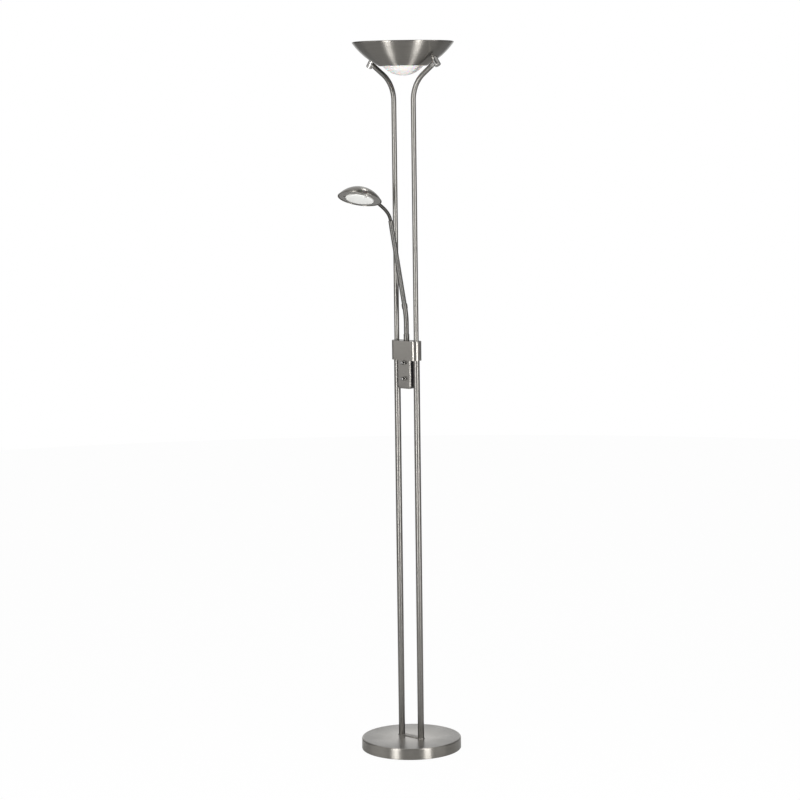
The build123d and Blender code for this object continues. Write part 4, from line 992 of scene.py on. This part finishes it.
@dataclass
class Uplighter:
    """Spun bowl with its opal glass and the lamp inside it."""

    height: float = 1800.0
    rim: float = 129.0
    depth: float = 60.0
    foot: float = 60.0
    sagitta: float = 5.7
    sheet: float = 1.2
    lip: float = 4.4
    lip_turn: float = 262.0
    opening: float = 52.0
    glass_neck: float = 51.4
    glass_drop: float = 24.0
    glass_thickness: float = 3.0
    glass_flange: float = 57.0
    lamp_height: float = 1773.5
    lamp_length: float = 118.0
    cap_length: float = 12.0
    cap_radius: float = 3.5
    quartz_radius: float = 5.0
    pinch_radius: float = 4.1
    pinch_length: float = 12.0
    pinch: float = 0.55
    coil_turns: int = 34
    coil_length: float = 62.0
    coil_radius: float = 0.9
    wire_radius: float = 0.18

    def side_circle(self) -> tuple[Point, float]:
        """Centre and radius of the arc that the bowl's side follows."""
        chord = Vector((self.rim - self.foot, self.depth))
        middle = Vector(((self.rim + self.foot) / 2, self.height - self.depth / 2))
        out = Vector((chord.y, -chord.x)).normalized()
        radius = ((chord.length / 2) ** 2 + self.sagitta**2) / (2 * self.sagitta)
        centre = middle + out * (self.sagitta - radius)
        return (centre.x, centre.y), radius

    def bowl(self) -> bpy.types.Object:
        """Bowl with a rolled lip and an opening for the glass."""
        centre, radius = self.side_circle()
        bottom = self.height - self.depth
        bead = self.lip / 2
        bead_height = self.height - bead
        drop = centre[1] - bead_height
        bead_middle = (centre[0] + sqrt((radius - bead) ** 2 - drop**2), bead_height)
        end = atan2(-drop, bead_middle[0] - centre[0])

        inside = bottom + self.sheet
        depth = inside - centre[1]

        def turn_at(reach: float) -> float:
            """Angle at which an arc of the side comes down to the floor's upper face."""
            return atan2(depth, sqrt(reach**2 - depth**2))

        inner_radius = radius - self.sheet
        outer = arc(centre, radius, turn_at(radius), end, 44)
        inner = arc(centre, inner_radius, end - 0.008, turn_at(inner_radius), 36)
        roll = arc(bead_middle, bead, end + 0.1, end + radians(self.lip_turn), 20)
        floor = rounded([
            (inner[-1][0], inside, 0),
            (self.opening, inside, 0.3),
            (self.opening, bottom, 0.3),
            (self.foot, bottom, 0),
        ])
        outline = floor + [(self.foot + 0.9, bottom + 0.35)] + outer + roll + inner[:-1]
        return turn("uplighter_bowl", outline, segments=ROUND_FACETS, joined=True)

    def glass(self) -> bpy.types.Object:
        """Opal glass cap that hangs in the bowl's foot."""
        radius = (self.glass_neck**2 + self.glass_drop**2) / (2 * self.glass_drop)
        bottom = self.height - self.depth - self.glass_drop
        middle = bottom + radius
        neck = atan2(self.glass_neck, radius - self.glass_drop)
        seat = self.height - self.depth + self.sheet
        outer = arc((0, middle), radius, -pi / 2, -pi / 2 + neck, 36)
        flange = rounded([
            (self.glass_neck, seat, 0),
            (self.glass_flange, seat, 0.6),
            (self.glass_flange, seat + self.glass_thickness, 0.8),
            (self.glass_neck - 1.4, seat + self.glass_thickness, 0),
        ])
        inner = arc((0, middle), radius - self.glass_thickness, -pi / 2 + neck, -pi / 2, 30)
        return turn("opal_glass_cap", outer + flange + inner, segments=160)

    def lamp_place(self) -> Place:
        """Frame of the double-ended lamp, with local Z along it."""
        return Place(Vector((0, 0, self.lamp_height)), Vector((1, 0, 0)), Vector((0, 1, 0)))

    def lamp_tube(self) -> bpy.types.Object:
        """Quartz tube, pinched flat towards its ends."""
        half = self.lamp_length / 2 - self.cap_length
        wide, slim, neck, waist = self.quartz_radius, self.pinch_radius, 9, 13
        corners = [
            (0, -half, 0), (slim, -half, 1), (slim, neck - half, 3), (wide, waist - half, 3),
            (wide, half - waist, 3), (slim, half - neck, 3), (slim, half, 1), (0, half, 0),
        ]
        tube = turn("quartz_lamp_tube", rounded(corners), self.lamp_place(), 48)
        for vertex in tube.data.vertices:
            past = abs(vertex.co.z) / MM - (half - self.pinch_length)
            share = min(1.0, max(0.0, past / 4))
            vertex.co.x *= 1 - self.pinch * share * share * (3 - 2 * share)
        return tube

    def lamp_cap(self, side: int, name: str) -> bpy.types.Object:
        """Ceramic end cap of the lamp, with its contact."""
        half = self.lamp_length / 2
        foot, wide, slim, end = half - self.cap_length, self.cap_radius, 1.6, half - 0.8
        corners = [(0, foot, 0), (wide, foot, 0.6), (wide, end, 0.5)]
        corners += [(slim, end, 0.2), (slim, half, 0.4), (0, half, 0)]
        place = Place(Vector((0, 0, self.lamp_height)), Vector((side, 0, 0)))
        return turn(f"lamp_cap_{name}", rounded(corners), place, 32)

    def filament(self) -> bpy.types.Object:
        """Coiled wire along the lamp's middle."""
        length, radius, lead, steps = self.coil_length, self.coil_radius, 6, 10
        count = self.coil_turns * steps
        path = [Vector((-length / 2 - lead, 0, self.lamp_height))]
        for k in range(count + 1):
            angle = 2 * pi * k / steps
            x = -length / 2 + length * k / count
            path.append(Vector((x, radius * cos(angle), self.lamp_height + radius * sin(angle))))
        path.append(Vector((length / 2 + lead, 0, self.lamp_height)))
        return sweep("lamp_filament", path, self.wire_radius, 6)

    def build(self) -> list[str]:
        """Makes the uplighter's pieces and gives their names."""
        return [
            dress(self.bowl(), Finishes.SATIN, Body.STAND, "bowl_shell"),
            dress(self.glass(), Finishes.OPAL, Body.STAND, "bowl_glass"),
            dress(self.lamp_tube(), Finishes.QUARTZ, Body.STAND, "tube_lamp"),
            dress(self.lamp_cap(-1, "left"), Finishes.CERAMIC, Body.STAND),
            dress(self.lamp_cap(1, "right"), Finishes.CERAMIC, Body.STAND),
            dress(self.filament(), Finishes.TUNGSTEN, Body.STAND),
        ]


# ---------------------------------------------------------------- collar and dimmers


@dataclass
class Collar:
    """Obround collar round the poles, and the dimmer box that hangs under it."""

    bottom: float = 1004.0
    height: float = 49.0
    length: float = 88.4
    depth: float = 32.2
    sheet: float = 1.5
    edge: float = 0.5
    recess: float = 0.6
    cap: float = 2.0
    cap_gap: float = 0.05
    box_width: float = 42.6
    box_depth: float = 23.6
    box_height: float = 72.5
    box_corner: float = 8.0
    face_depth: float = 3.6
    face_edge: float = 3.0
    knob_heights: tuple[float, float] = (997.6, 957.4)
    knob_radius: float = 4.8
    knob_neck: float = 4.2
    knob_length: float = 8.6
    knob_foot: float = 14.4
    ring_radius: float = 5.5
    ring_bore: float = 3.9
    ring_height: float = 2.2

    def outline(self) -> Callable[[float], list[Point]]:
        """Outline of the collar and its caps."""
        return obround(self.length, self.depth, 28)

    def shell(self) -> bpy.types.Object:
        """Band of the collar, with softly rounded edges."""
        top = self.bottom + self.height
        edge = self.edge
        turns = [pi / 8 * k for k in range(5)]
        levels = [(self.sheet, self.bottom), (edge, self.bottom)]
        levels += [(edge - edge * sin(t), self.bottom + edge - edge * cos(t)) for t in turns[1:]]
        levels += [(edge - edge * cos(t), top - edge + edge * sin(t)) for t in turns]
        levels += [(self.sheet - 0.2, top), (self.sheet, top - 0.2)]
        return stack("collar_band", self.outline(), levels, joined=True)

    def top_cap(self) -> bpy.types.Object:
        """Cap that closes the collar, a little below its edge."""
        top = self.bottom + self.height - self.recess
        inset = self.sheet + self.cap_gap
        levels = [(inset, top - self.cap), (inset, top - 0.25), (inset + 0.25, top)]
        return stack("collar_upper_cap", self.outline(), levels)

    def bottom_cap(self) -> bpy.types.Object:
        """Dark cap in the collar's underside."""
        inset, low = self.sheet + self.cap_gap, self.bottom
        levels = [(inset, low + self.cap), (inset, low + 0.3), (inset + 0.3, low)]
        return stack("collar_lower_cap", self.outline(), levels)

    def box_outline(self, inset: float) -> list[Point]:
        """Box seen from the front: square at the collar and rounded below, drawn in by inset."""
        half = self.box_width / 2 - inset
        low = self.bottom - self.box_height + inset
        corner = max(self.box_corner - inset, 0.5)
        right = arc((half - corner, low + corner), corner, -pi / 2, 0, 10)
        left = arc((corner - half, low + corner), corner, pi, 3 * pi / 2, 10)
        return right + [(half, self.bottom), (-half, self.bottom)] + left

    def front_place(self, depth: float) -> Place:
        """Frame of the box's layers: local Z points to the front, from a depth behind it."""
        return Place(Vector((0, depth - self.box_depth / 2, 0)), Vector((0, -1, 0)))

    def face(self) -> bpy.types.Object:
        """Metal face with a large rounded edge."""
        flat = self.face_depth - self.face_edge
        levels = [(0.0, 0.0), (0.0, flat)]
        steps = 10
        for k in range(1, steps + 1):
            swing = pi / 2 * k / steps
            levels.append((self.face_edge * (1 - cos(swing)), flat + self.face_edge * sin(swing)))
        place = self.front_place(self.face_depth)
        return stack("dimmer_box_face", self.box_outline, levels, place)

    def housing(self) -> bpy.types.Object:
        """Moulded rear half of the box, with a fine shadow line where it meets the face."""
        reach = self.box_depth - self.face_depth
        levels = [(1.2, 0.0), (0.35, 0.35), (0.0, 1.2)]
        levels += [(0.0, reach - 0.35), (0.4, reach - 0.3), (0.4, reach)]
        place = self.front_place(self.box_depth)
        return stack("dimmer_box_housing", self.box_outline, levels, place)

    def ring_nut(self, name: str, height: float) -> bpy.types.Object:
        """Ring nut of a dimmer on the face."""
        wide, bore, top = self.ring_radius, self.ring_bore, self.ring_height
        floor = top - 0.3
        corners = [(0, 0, 0), (wide, 0, 0), (wide, top, 0.5)]
        corners += [(bore, top, 0.2), (bore, floor, 0), (0, floor, 0)]
        place = Place(Vector((0, -self.box_depth / 2, height)), Vector((0, -1, 0)))
        return turn(f"{name}_ring_nut", rounded(corners), place, 48)

    def knob(self, name: str, height: float) -> bpy.types.Object:
        """Small turned knob, rounded at its front."""
        neck, wide, top = self.knob_neck, self.knob_radius, self.knob_length
        corners = [(0, 0, 0), (neck, 0, 0.1), (neck, 1.2, 0.2)]
        corners += [(wide, 1.8, 0.25), (wide, top, 1.6), (0, top, 0)]
        place = Place(Vector((0, -self.knob_foot, height)), Vector((0, -1, 0)))
        return turn(f"{name}_dimmer_knob", rounded(corners), place, 56)

    def build(self) -> list[str]:
        """Makes the collar's pieces and gives their names."""
        upper, lower = self.knob_heights
        nut, knob = self.ring_nut, self.knob
        return [
            dress(self.shell(), Finishes.SHEET, Body.STAND, "collar_shell"),
            dress(self.top_cap(), Finishes.FACE, Body.STAND, "collar_top_cap"),
            dress(self.bottom_cap(), Finishes.PLASTIC, Body.STAND, "collar_bottom_cap"),
            dress(self.face(), Finishes.FACE, Body.STAND, "switch_cover"),
            dress(self.housing(), Finishes.PLASTIC, Body.STAND, "switch_housing"),
            dress(nut("upper", upper), Finishes.BRIGHT, Body.STAND, "dimmer_ring_nuts"),
            dress(nut("lower", lower), Finishes.BRIGHT, Body.STAND),
            dress(knob("upper", upper), Finishes.KNOB, Body.UPPER_KNOB, "upper_knob"),
            dress(knob("lower", lower), Finishes.KNOB, Body.LOWER_KNOB, "lower_knob"),
        ]


# ---------------------------------------------------------------- reading arm


@dataclass
class ReadingArm:
    """Rigid tube, wound flexible hose and thin bent tube that carry the reading head."""

    foot: float = 1052.4
    turn: float = 15.0
    tilt: float = 10.2
    tube_radius: float = 6.3
    bend_start: float = 1095.0
    bend_radius: float = 230.0
    straight: float = 6.5
    ferrule_radius: float = 7.3
    base_ferrule: float = 17.0
    lower_ferrule: float = 16.3
    lower_ferrule_trim: float = 4.1
    ferrule_cover: float = 8.0
    joint_beyond_tube: float = 8.3
    links: int = 7
    pitch: float = 28.4
    hose_radius: float = 6.3
    hose_foot: float = -4.6
    hose_gap: float = 0.3
    hose_facets: int = 44
    groove: float = 0.8
    ribs: int = 8
    rib_rows: int = 9
    rib_fullness: float = 0.62
    upper_ferrule_radius: float = 5.8
    upper_ferrule_foot: float = -2.3
    upper_ferrule_top: float = 11.0
    thin_radius: float = 4.3
    thin_cover: float = 5.5
    thin_bend: tuple[float, float] = (45.0, 30.0)
    thin_sweep: tuple[float, float] = (90.0, 12.0)
    thin_end: float = 43.0

    def out(self) -> Vector:
        """Level direction in which the arm leans."""
        return Vector((-sin(radians(self.turn)), -cos(radians(self.turn)), 0))

    def hose_axis(self) -> Vector:
        """Direction of the hose at rest."""
        return self.direction(self.tilt)

    def direction(self, lean: float) -> Vector:
        """Direction in the arm's plane, at a lean from upright in degrees."""
        return self.out() * sin(radians(lean)) + UP * cos(radians(lean))

    def bend(self, start: Vector, lean: float, radius: float, swing: float,
             steps: int) -> list[Vector]:
        """Points of an arc that leans further out.

        Args:
            start: First point, which is left out.
            lean: Lean at the start, in degrees.
            radius: Radius of the arc.
            swing: How much further it leans, in degrees.
            steps: Number of chords.

        Returns:
            The points after the start.
        """
        points = []
        for k in range(1, steps + 1):
            after = radians(lean + swing * k / steps)
            before = radians(lean)
            out = self.out() * (radius * (cos(before) - cos(after)))
            points.append(start + out + UP * (radius * (sin(after) - sin(before))))
        return points

    def lower_path(self) -> list[Vector]:
        """Middle line of the rigid lower tube."""
        start = Vector((0, 0, self.bend_start))
        path = [Vector((0, 0, self.foot)), start]
        path += self.bend(start, 0, self.bend_radius, self.tilt, 16)
        return path + [path[-1] + self.hose_axis() * self.straight]

    def joint(self, number: float) -> Vector:
        """Middle of one of the hose's joints, counted from 0."""
        start = self.lower_path()[-1] + self.hose_axis() * self.joint_beyond_tube
        return start + self.hose_axis() * (number * self.pitch)

    def upper_path(self) -> list[Vector]:
        """Middle line of the thin tube, from inside its ferrule to the lampholder."""
        top = self.joint(self.links) + self.hose_axis() * self.upper_ferrule_top
        path = [top - self.hose_axis() * self.thin_cover, top]
        radius, swing = self.thin_bend
        path += self.bend(top, self.tilt, radius, swing, 20)
        lean = self.tilt + swing
        radius, swing = self.thin_sweep
        path += self.bend(path[-1], lean, radius, swing, 10)
        return path + [path[-1] + self.direction(lean + swing) * self.thin_end]

    def ferrules(self) -> list[bpy.types.Object]:
        """Foot ferrule, the ferrule under the hose, and the one above it."""
        radius, axis = self.ferrule_radius, self.hose_axis()
        foot = Place(Vector((0, 0, self.foot)))
        below = Place(self.lower_path()[-1] - axis * self.ferrule_cover, axis)
        above = Place(self.joint(self.links), axis)
        lower_top = self.lower_ferrule - self.lower_ferrule_trim
        return [
            bar("arm_foot_ferrule", radius, 0, self.base_ferrule, foot, (0.3, 0.6)),
            bar("hose_lower_ferrule", radius, 0, lower_top, below, (0.5, 1.2)),
            bar("hose_upper_ferrule", self.upper_ferrule_radius, self.upper_ferrule_foot,
                self.upper_ferrule_top, above, (0.5, 0.8), 48),
        ]

    def hose_piece(self, number: int) -> bpy.types.Object:
        """Stretch of wound hose round one joint, from mid-link to mid-link.

        Args:
            number: The joint's number, from 0 below to 7 above.

        Returns:
            The object, with its ribs wound as one long screw.
        """
        start, end = -self.pitch / 2, self.pitch / 2
        if number == 0:
            start = self.hose_foot
        if number == self.links:
            end = self.upper_ferrule_foot - self.hose_gap
        axis = self.hose_axis()
        side = self.out().cross(UP).normalized()
        over = axis.cross(side)
        origin = self.joint(number)
        rib = self.pitch / self.ribs
        rows = round((end - start) / rib * self.rib_rows)
        around = self.hose_facets
        loops = []
        for row in range(rows + 1):
            along = start + (end - start) * row / rows
            loop = []
            for k in range(around):
                angle = 2 * pi * k / around
                phase = (number * self.pitch + along) / rib - angle / (2 * pi)
                swell = abs(sin(pi * phase)) ** self.rib_fullness
                reach = self.hose_radius - self.groove * (1 - swell)
                out = side * cos(angle) + over * sin(angle)
                loop.append(origin + axis * along + out * reach)
            loops.append(loop)
        return loops_piece(f"wound_hose_{number + 1}", loops, Place(), False, crease=70)

    def build(self) -> list[str]:
        """Makes the arm's pieces and gives their names."""
        foot, lower, upper = self.ferrules()
        rigid = sweep("arm_rigid_tube", self.lower_path(), self.tube_radius, 56)
        thin = sweep("arm_thin_tube", self.upper_path(), self.thin_radius, 40)
        made = [
            dress(foot, Finishes.ARM, Body.STAND, "arm_base_ferrule"),
            dress(rigid, Finishes.ARM, Body.STAND, "arm_lower_tube"),
            dress(lower, Finishes.ARM, Body.STAND, "arm_lower_ferrule"),
            dress(upper, Finishes.ARM, Body.HEAD, "arm_upper_ferrule"),
            dress(thin, Finishes.THIN, Body.HEAD, "arm_upper_tube"),
        ]
        finish = replace(Finishes.HOSE, origin=self.joint(0), axis=self.hose_axis())
        for number in range(self.links + 1):
            piece = self.hose_piece(number)
            piece.data.materials.append(finish.material())
            reach = self.hose_axis() * (self.pitch / 2 * MM)
            middle = self.joint(number) * MM
            middle - reach
            middle + reach
            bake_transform(piece)
            if number < self.links:
                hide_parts(f"hose_link_{number + 1}")
            made.append(piece.name)
        return made


# ---------------------------------------------------------------- reading head


@dataclass
class ReadingHead:
    """Shallow spun dome with a flat ring in its mouth, a frosted disc and three clips."""

    arm: ReadingArm = field(default_factory=ReadingArm)
    reach: float = 33.0
    drop: float = 3.5
    pitch: float = 18.0
    roll: float = 11.3
    radius: float = 55.0
    depth: float = 29.5
    sheet: float = 1.0
    lip: float = 1.6
    lip_rise: float = 0.6
    ring_recess: float = 0.3
    ring_sheet: float = 1.2
    ring_gap: float = 1.5
    ring_opening: float = 31.0
    glass_radius: float = 35.3
    glass_thickness: float = 3.0
    clip_width: float = 5.0
    clip_sheet: float = 0.8
    clip_lap: float = 2.5
    clip_foot: float = 5.5
    clip_start: float = 25.0

    def place(self) -> Place:
        """Frame of the head: local Z through its crown, local X towards the arm."""
        out = self.arm.out()
        side = UP.cross(out)
        pitch, roll = radians(self.pitch), radians(self.roll)
        crown = out * (-sin(pitch) * cos(roll)) - side * sin(roll) + UP * (cos(pitch) * cos(roll))
        middle = self.arm.upper_path()[-1] + out * self.reach - UP * self.drop
        return Place(middle, crown, -out)

    def shade(self) -> bpy.types.Object:
        """Dome with a rolled lip."""
        sphere = (self.radius**2 + self.depth**2) / (2 * self.depth)
        centre = (0.0, self.depth - sphere)
        inner = sphere - self.sheet
        rim = sqrt(inner**2 - centre[1] ** 2)
        lip_middle = (self.radius + rim) / 2
        above = self.lip_rise - centre[1]
        outer_arc = arc(centre, sphere, pi / 2, atan2(above, self.radius), 40)
        roll = arc((lip_middle, 0), self.lip / 2, radians(35), radians(-215), 12)
        inner_arc = arc(centre, inner, atan2(above, rim), pi / 2, 34)
        return turn("reading_shade", outer_arc + roll + inner_arc, self.place(), 160)

    def ring(self) -> bpy.types.Object:
        """Flat ring that closes the dome round the glass."""
        outer = self.radius - self.sheet - self.ring_gap
        low, high = self.ring_recess, self.ring_recess + self.ring_sheet
        corners = [(self.ring_opening, low, 0.4), (outer, low, 0.3)]
        corners += [(outer, high, 0), (self.ring_opening, high, 0)]
        return turn("reading_mouth_ring", rounded(corners, True), self.place(), 128, joined=True)

    def glass(self) -> bpy.types.Object:
        """Frosted disc under the ring."""
        low = self.ring_recess - self.glass_thickness
        return bar("frosted_disc", self.glass_radius, low, self.ring_recess, self.place(),
                   (0.8, 0.5), 96)

    def clip(self, number: int) -> bpy.types.Object:
        """Bent strip that holds the disc's edge.

        Args:
            number: Which of the three clips.

        Returns:
            The object.
        """
        top, sheet, edge = self.ring_recess, self.clip_sheet, 0.25
        face = top - self.glass_thickness
        lap = self.glass_radius - self.clip_lap
        riser = self.glass_radius + 0.3
        foot = riser + self.clip_foot
        section = [
            (lap, face, 0), (riser, face, 0), (riser, top, 0), (foot, top, 0),
            (foot, top - sheet, 0.3), (riser + sheet, top - sheet, 0.4),
            (riser + sheet, face - sheet, 0.7), (lap, face - sheet, 0.3),
        ]
        line = rounded(section, True, 4)
        half = self.clip_width / 2
        swing = Matrix.Rotation(radians(self.clip_start + 120 * number), 3, "Z")
        x_mean = sum(x for x, _ in line) / len(line)
        z_mean = sum(z for _, z in line) / len(line)
        loops = []
        for across, size in ((-half, 0.95), (edge - half, 1.0), (half - edge, 1.0), (half, 0.95)):
            near = [(x_mean + (x - x_mean) * size, z_mean + (z - z_mean) * size) for x, z in line]
            loops.append([swing @ Vector((x, across, z)) for x, z in near])
        return loops_piece(f"disc_clip_{number + 1}", loops, self.place(), False)

    def build(self) -> list[str]:
        """Makes the head's pieces and gives their names."""
        made = [
            dress(self.shade(), Finishes.DOME, Body.HEAD, "head_shade"),
            dress(self.ring(), Finishes.FACE, Body.HEAD, "head_bezel"),
            dress(self.glass(), Finishes.FROSTED, Body.HEAD, "head_glass"),
        ]
        for number in range(3):
            nodes = ["glass_clips"] if number == 0 else []
            made.append(dress(self.clip(number), Finishes.BRIGHT, Body.HEAD, *nodes))
        return made


# ---------------------------------------------------------------- pieces kept from the frame


@dataclass
class KeptParts:
    """CAD pieces that keep their meshes, with softened edges where they show."""

    finishes: dict[str, Finish] = field(default_factory=lambda: {
        "zinc_steel": Finishes.ZINC,
        "cast_iron": Finishes.IRON,
        "black_plastic": Finishes.PLASTIC,
        "felt": Finishes.FELT,
        "ceramic": Finishes.CERAMIC,
        "lamp_glass": Finishes.QUARTZ,
        "satin_nickel": Finishes.SATIN,
        "bright_nickel": Finishes.BRIGHT,
        "hose_nickel": Finishes.BRIGHT,
        "opal_glass": Finishes.OPAL,
        "frosted_glass": Finishes.FROSTED,
    })
    soft_edges: tuple[str, ...] = ("lampholders", "collar_grub_screws")

    def build(self) -> list[str]:
        """Gives every kept CAD piece its material and gives back their names."""
        slots = {part["node"]: part["material_slot"] for part in frame["record"]["subparts"]}
        made = []
        for name, node in frame["nodes"].items():
            finish = self.finishes[slots[name]]
            if node.material_slots:
                for material_slot in node.material_slots:
                    material_slot.link = "OBJECT"
                    material_slot.material = finish.material()
            else:
                node.data.materials.append(finish.material())
            if name in self.soft_edges:
                bevel = node.modifiers.new("soft_edges", "BEVEL")
                bevel.width = 0.25 * MM
                bevel.segments = 2
                bevel.limit_method = "ANGLE"
            if not node.hide_render:
                made.append(name)
        return made


# ---------------------------------------------------------------- studio


@dataclass(frozen=True)
class HighBox:
    """Soft light outside the picture, aimed at a point on the lamp's axis.

    Its azimuth is measured from the camera and its aim is a height, in metres.
    """

    azimuth: float
    elevation: float
    distance: float
    aim: float
    size: tuple[float, float]
    radiance: float


@dataclass
class Studio:
    """Camera, pale floor, soft lights and the surroundings that the metal mirrors."""

    camera_place: Vector = Vector((3.936, -4.449, 1.6135))
    heading: float = 0.178
    tilt: float = 6.831
    roll: float = -0.745
    lens: float = 106.28
    strip_angles: tuple[float, float] = (-37.0, 37.0)
    strip_distance: float = 1.9
    strip_size: tuple[float, float] = (0.46, 2.3)
    strip_radiance: tuple[float, float] = (12.0, 12.0)
    boxes: tuple[HighBox, ...] = (
        HighBox(180.0, 15.0, 2.6, 0.1, (0.4, 0.6), 0.85),
        HighBox(164.4, 46.3, 3.0, 1.43, (0.42, 0.42), 9.0),
        HighBox(-142.6, 71.5, 3.0, 1.43, (0.36, 0.36), 7.0),
        HighBox(116.9, 55.7, 3.0, 1.43, (0.36, 0.36), 7.0),
    )
    floor_radius: float = 6.0
    floor_facets: int = 96
    floor_colour: tuple[float, float, float, float] = (0.64, 0.64, 0.636, 1)
    floor_glow: float = 0.97
    mirrored_glow: float = 0.05
    ceiling: float = 0.85
    ceiling_rise: tuple[float, float] = (0.62, 0.86)
    wall_levels: tuple[tuple[float, float], ...] = (
        (-180, 0.85), (-160, 0.85), (-150, 0.18), (-115, 0.18), (-100, 1.1), (-66, 1.1),
        (-58, 0.12), (-16, 0.14), (-8, 0.42), (8, 0.42), (16, 0.14), (52, 0.12), (62, 0.9),
        (84, 0.9), (90, 0.12), (104, 0.12), (110, 0.36), (140, 0.3), (150, 0.18), (160, 0.85),
        (180, 0.85),
    )

    def camera(self) -> None:
        """Camera at the photograph's angle."""
        place = self.camera_place
        level = Vector((-place.x, -place.y, 0)).normalized()
        level.rotate(Matrix.Rotation(radians(self.heading), 3, "Z"))
        ahead = level * cos(radians(self.tilt)) - UP * sin(radians(self.tilt))
        right = ahead.cross(UP).normalized()
        over = right.cross(ahead)
        lean = radians(self.roll)
        x = right * cos(lean) + over * sin(lean)
        y = over * cos(lean) - right * sin(lean)
        data = bpy.data.cameras.new("camera")
        data.lens = self.lens
        data.sensor_width = 36
        data.clip_start = 0.1
        data.clip_end = 100
        camera = bpy.data.objects.new("camera", data)
        bpy.context.scene.collection.objects.link(camera)
        turned = Matrix((x, y, -ahead)).transposed().to_4x4()
        camera.matrix_world = Matrix.Translation(place) @ turned
        bpy.context.scene.camera = camera

    def toward_camera(self) -> float:
        """Azimuth of the camera seen from the lamp, in radians."""
        return atan2(self.camera_place.y, self.camera_place.x)

    def softbox(self, name: str, out: Vector, middle: Vector, size: tuple[float, float],
                radiance: float) -> None:
        """Soft light that only its glow and its mirror images show.

        Args:
            name: Name of the light.
            out: Direction from what it lights to the light.
            middle: Its middle.
            size: Its width and height.
            radiance: How bright its face is.
        """
        data = bpy.data.lights.new(name, "AREA")
        data.shape = "RECTANGLE"
        data.size, data.size_y = size
        data.energy = radiance * pi * size[0] * size[1]
        light = bpy.data.objects.new(name, data)
        bpy.context.scene.collection.objects.link(light)
        right = UP.cross(out).normalized()
        turned = Matrix((right, out.cross(right), out)).transposed().to_4x4()
        light.matrix_world = Matrix.Translation(middle) @ turned
        light.visible_camera = False

    def lights(self) -> None:
        """Tall strips left and right of the camera's line, and boxes at the rear and sides."""
        for number, (angle, radiance) in enumerate(zip(self.strip_angles, self.strip_radiance)):
            azimuth = self.toward_camera() + radians(angle)
            out = Vector((cos(azimuth), sin(azimuth), 0))
            middle = out * self.strip_distance + UP * (self.strip_size[1] / 2)
            self.softbox(f"strip_{number}", out, middle, self.strip_size, radiance)
        for number, box in enumerate(self.boxes):
            azimuth = self.toward_camera() + radians(box.azimuth)
            rise = radians(box.elevation)
            out = Vector((cos(azimuth) * cos(rise), sin(azimuth) * cos(rise), sin(rise)))
            middle = out * box.distance + UP * box.aim
            self.softbox(f"box_{number}", out, middle, box.size, box.radiance)

    def floor(self) -> None:
        """Wide floor that looks white to the camera and in metal, and keeps a faint shadow."""
        count = self.floor_facets
        radius = self.floor_radius / MM
        turns = [2 * pi * k / count for k in range(count)]
        points = [Vector((0, 0, 0))]
        points += [Vector((radius * cos(t), radius * sin(t), 0)) for t in turns]
        faces = [[0, k + 1, (k + 1) % count + 1] for k in range(count)]
        floor = mesh_piece("studio_floor", points, faces)
        material = bpy.data.materials.new("pale_floor")
        material.use_nodes = True
        nodes = Nodes(material.node_tree)
        diffuse = nodes.add("ShaderNodeBsdfDiffuse", inputs={"Color": self.floor_colour})
        glow = nodes.add("ShaderNodeEmission", inputs={"Color": (1, 1, 1, 1), "Strength": 1.0})
        rays = nodes.add("ShaderNodeLightPath", output="Is Camera Ray")
        outputs = rays.output.node.outputs
        glossy = Socket(nodes, outputs["Is Glossy Ray"])
        mirrored = glossy.at_least(Socket(nodes, outputs["Is Transmission Ray"]))
        share = rays * self.floor_glow + mirrored * self.mirrored_glow
        mixed = nodes.add("ShaderNodeMixShader", inputs={0: share, 1: diffuse, 2: glow})
        nodes.add("ShaderNodeOutputMaterial", inputs={"Surface": mixed})
        floor.data.materials.append(material)

    def surroundings(self) -> None:
        """World: white for the camera, and a studio's grey levels by direction for the rest."""
        world = bpy.data.worlds.new("studio")
        bpy.context.scene.world = world
        world.use_nodes = True
        nodes = Nodes(world.node_tree)
        facing = nodes.add("ShaderNodeTexCoord", output="Generated")
        x, y, z = nodes.parts(facing)
        azimuth = self.toward_camera()
        ahead = x * cos(azimuth) + y * sin(azimuth)
        aside = y * cos(azimuth) - x * sin(azimuth)
        swing = nodes.add("ShaderNodeMath", {"operation": "ARCTAN2"}, {0: aside, 1: ahead})
        share = swing * (1 / (2 * pi)) + 0.5
        stops = [((angle + 180) / 360, level) for angle, level in self.wall_levels]
        ramp = nodes.add("ShaderNodeValToRGB", {"stops": stops}, {0: share})
        low, high = self.ceiling_rise
        rise = nodes.add("ShaderNodeMapRange", {"interpolation_type": "SMOOTHSTEP"},
                         {"Value": z, "From Min": low, "From Max": high})
        around = nodes.mix(rise, ramp, (self.ceiling, self.ceiling, self.ceiling, 1))
        rays = nodes.add("ShaderNodeLightPath", output="Is Camera Ray")
        seen = nodes.mix(rays, around, (1, 1, 1, 1))
        background = nodes.add("ShaderNodeBackground", inputs={"Color": seen, "Strength": 1.0})
        nodes.add("ShaderNodeOutputWorld", inputs={"Surface": background})

    def build(self) -> None:
        """Sets up the whole studio."""
        self.camera()
        self.lights()
        self.floor()
        self.surroundings()
        bpy.context.scene.view_settings.view_transform = "Standard"


def main() -> None:
    """Builds the lamp's sub-assemblies in order and reports each piece."""
    logging.basicConfig(level=logging.INFO, format="%(name)s: %(message)s")
    assemblies: tuple[Assembly, ...] = (
        Base(), Poles(), Uplighter(), Collar(), ReadingArm(), ReadingHead(), KeptParts(),
    )
    for assembly in assemblies:
        for piece in assembly.build():
            log.info("%s: %s", type(assembly).__name__, piece)
    Studio().build()


if __name__ == "__main__":
    main()
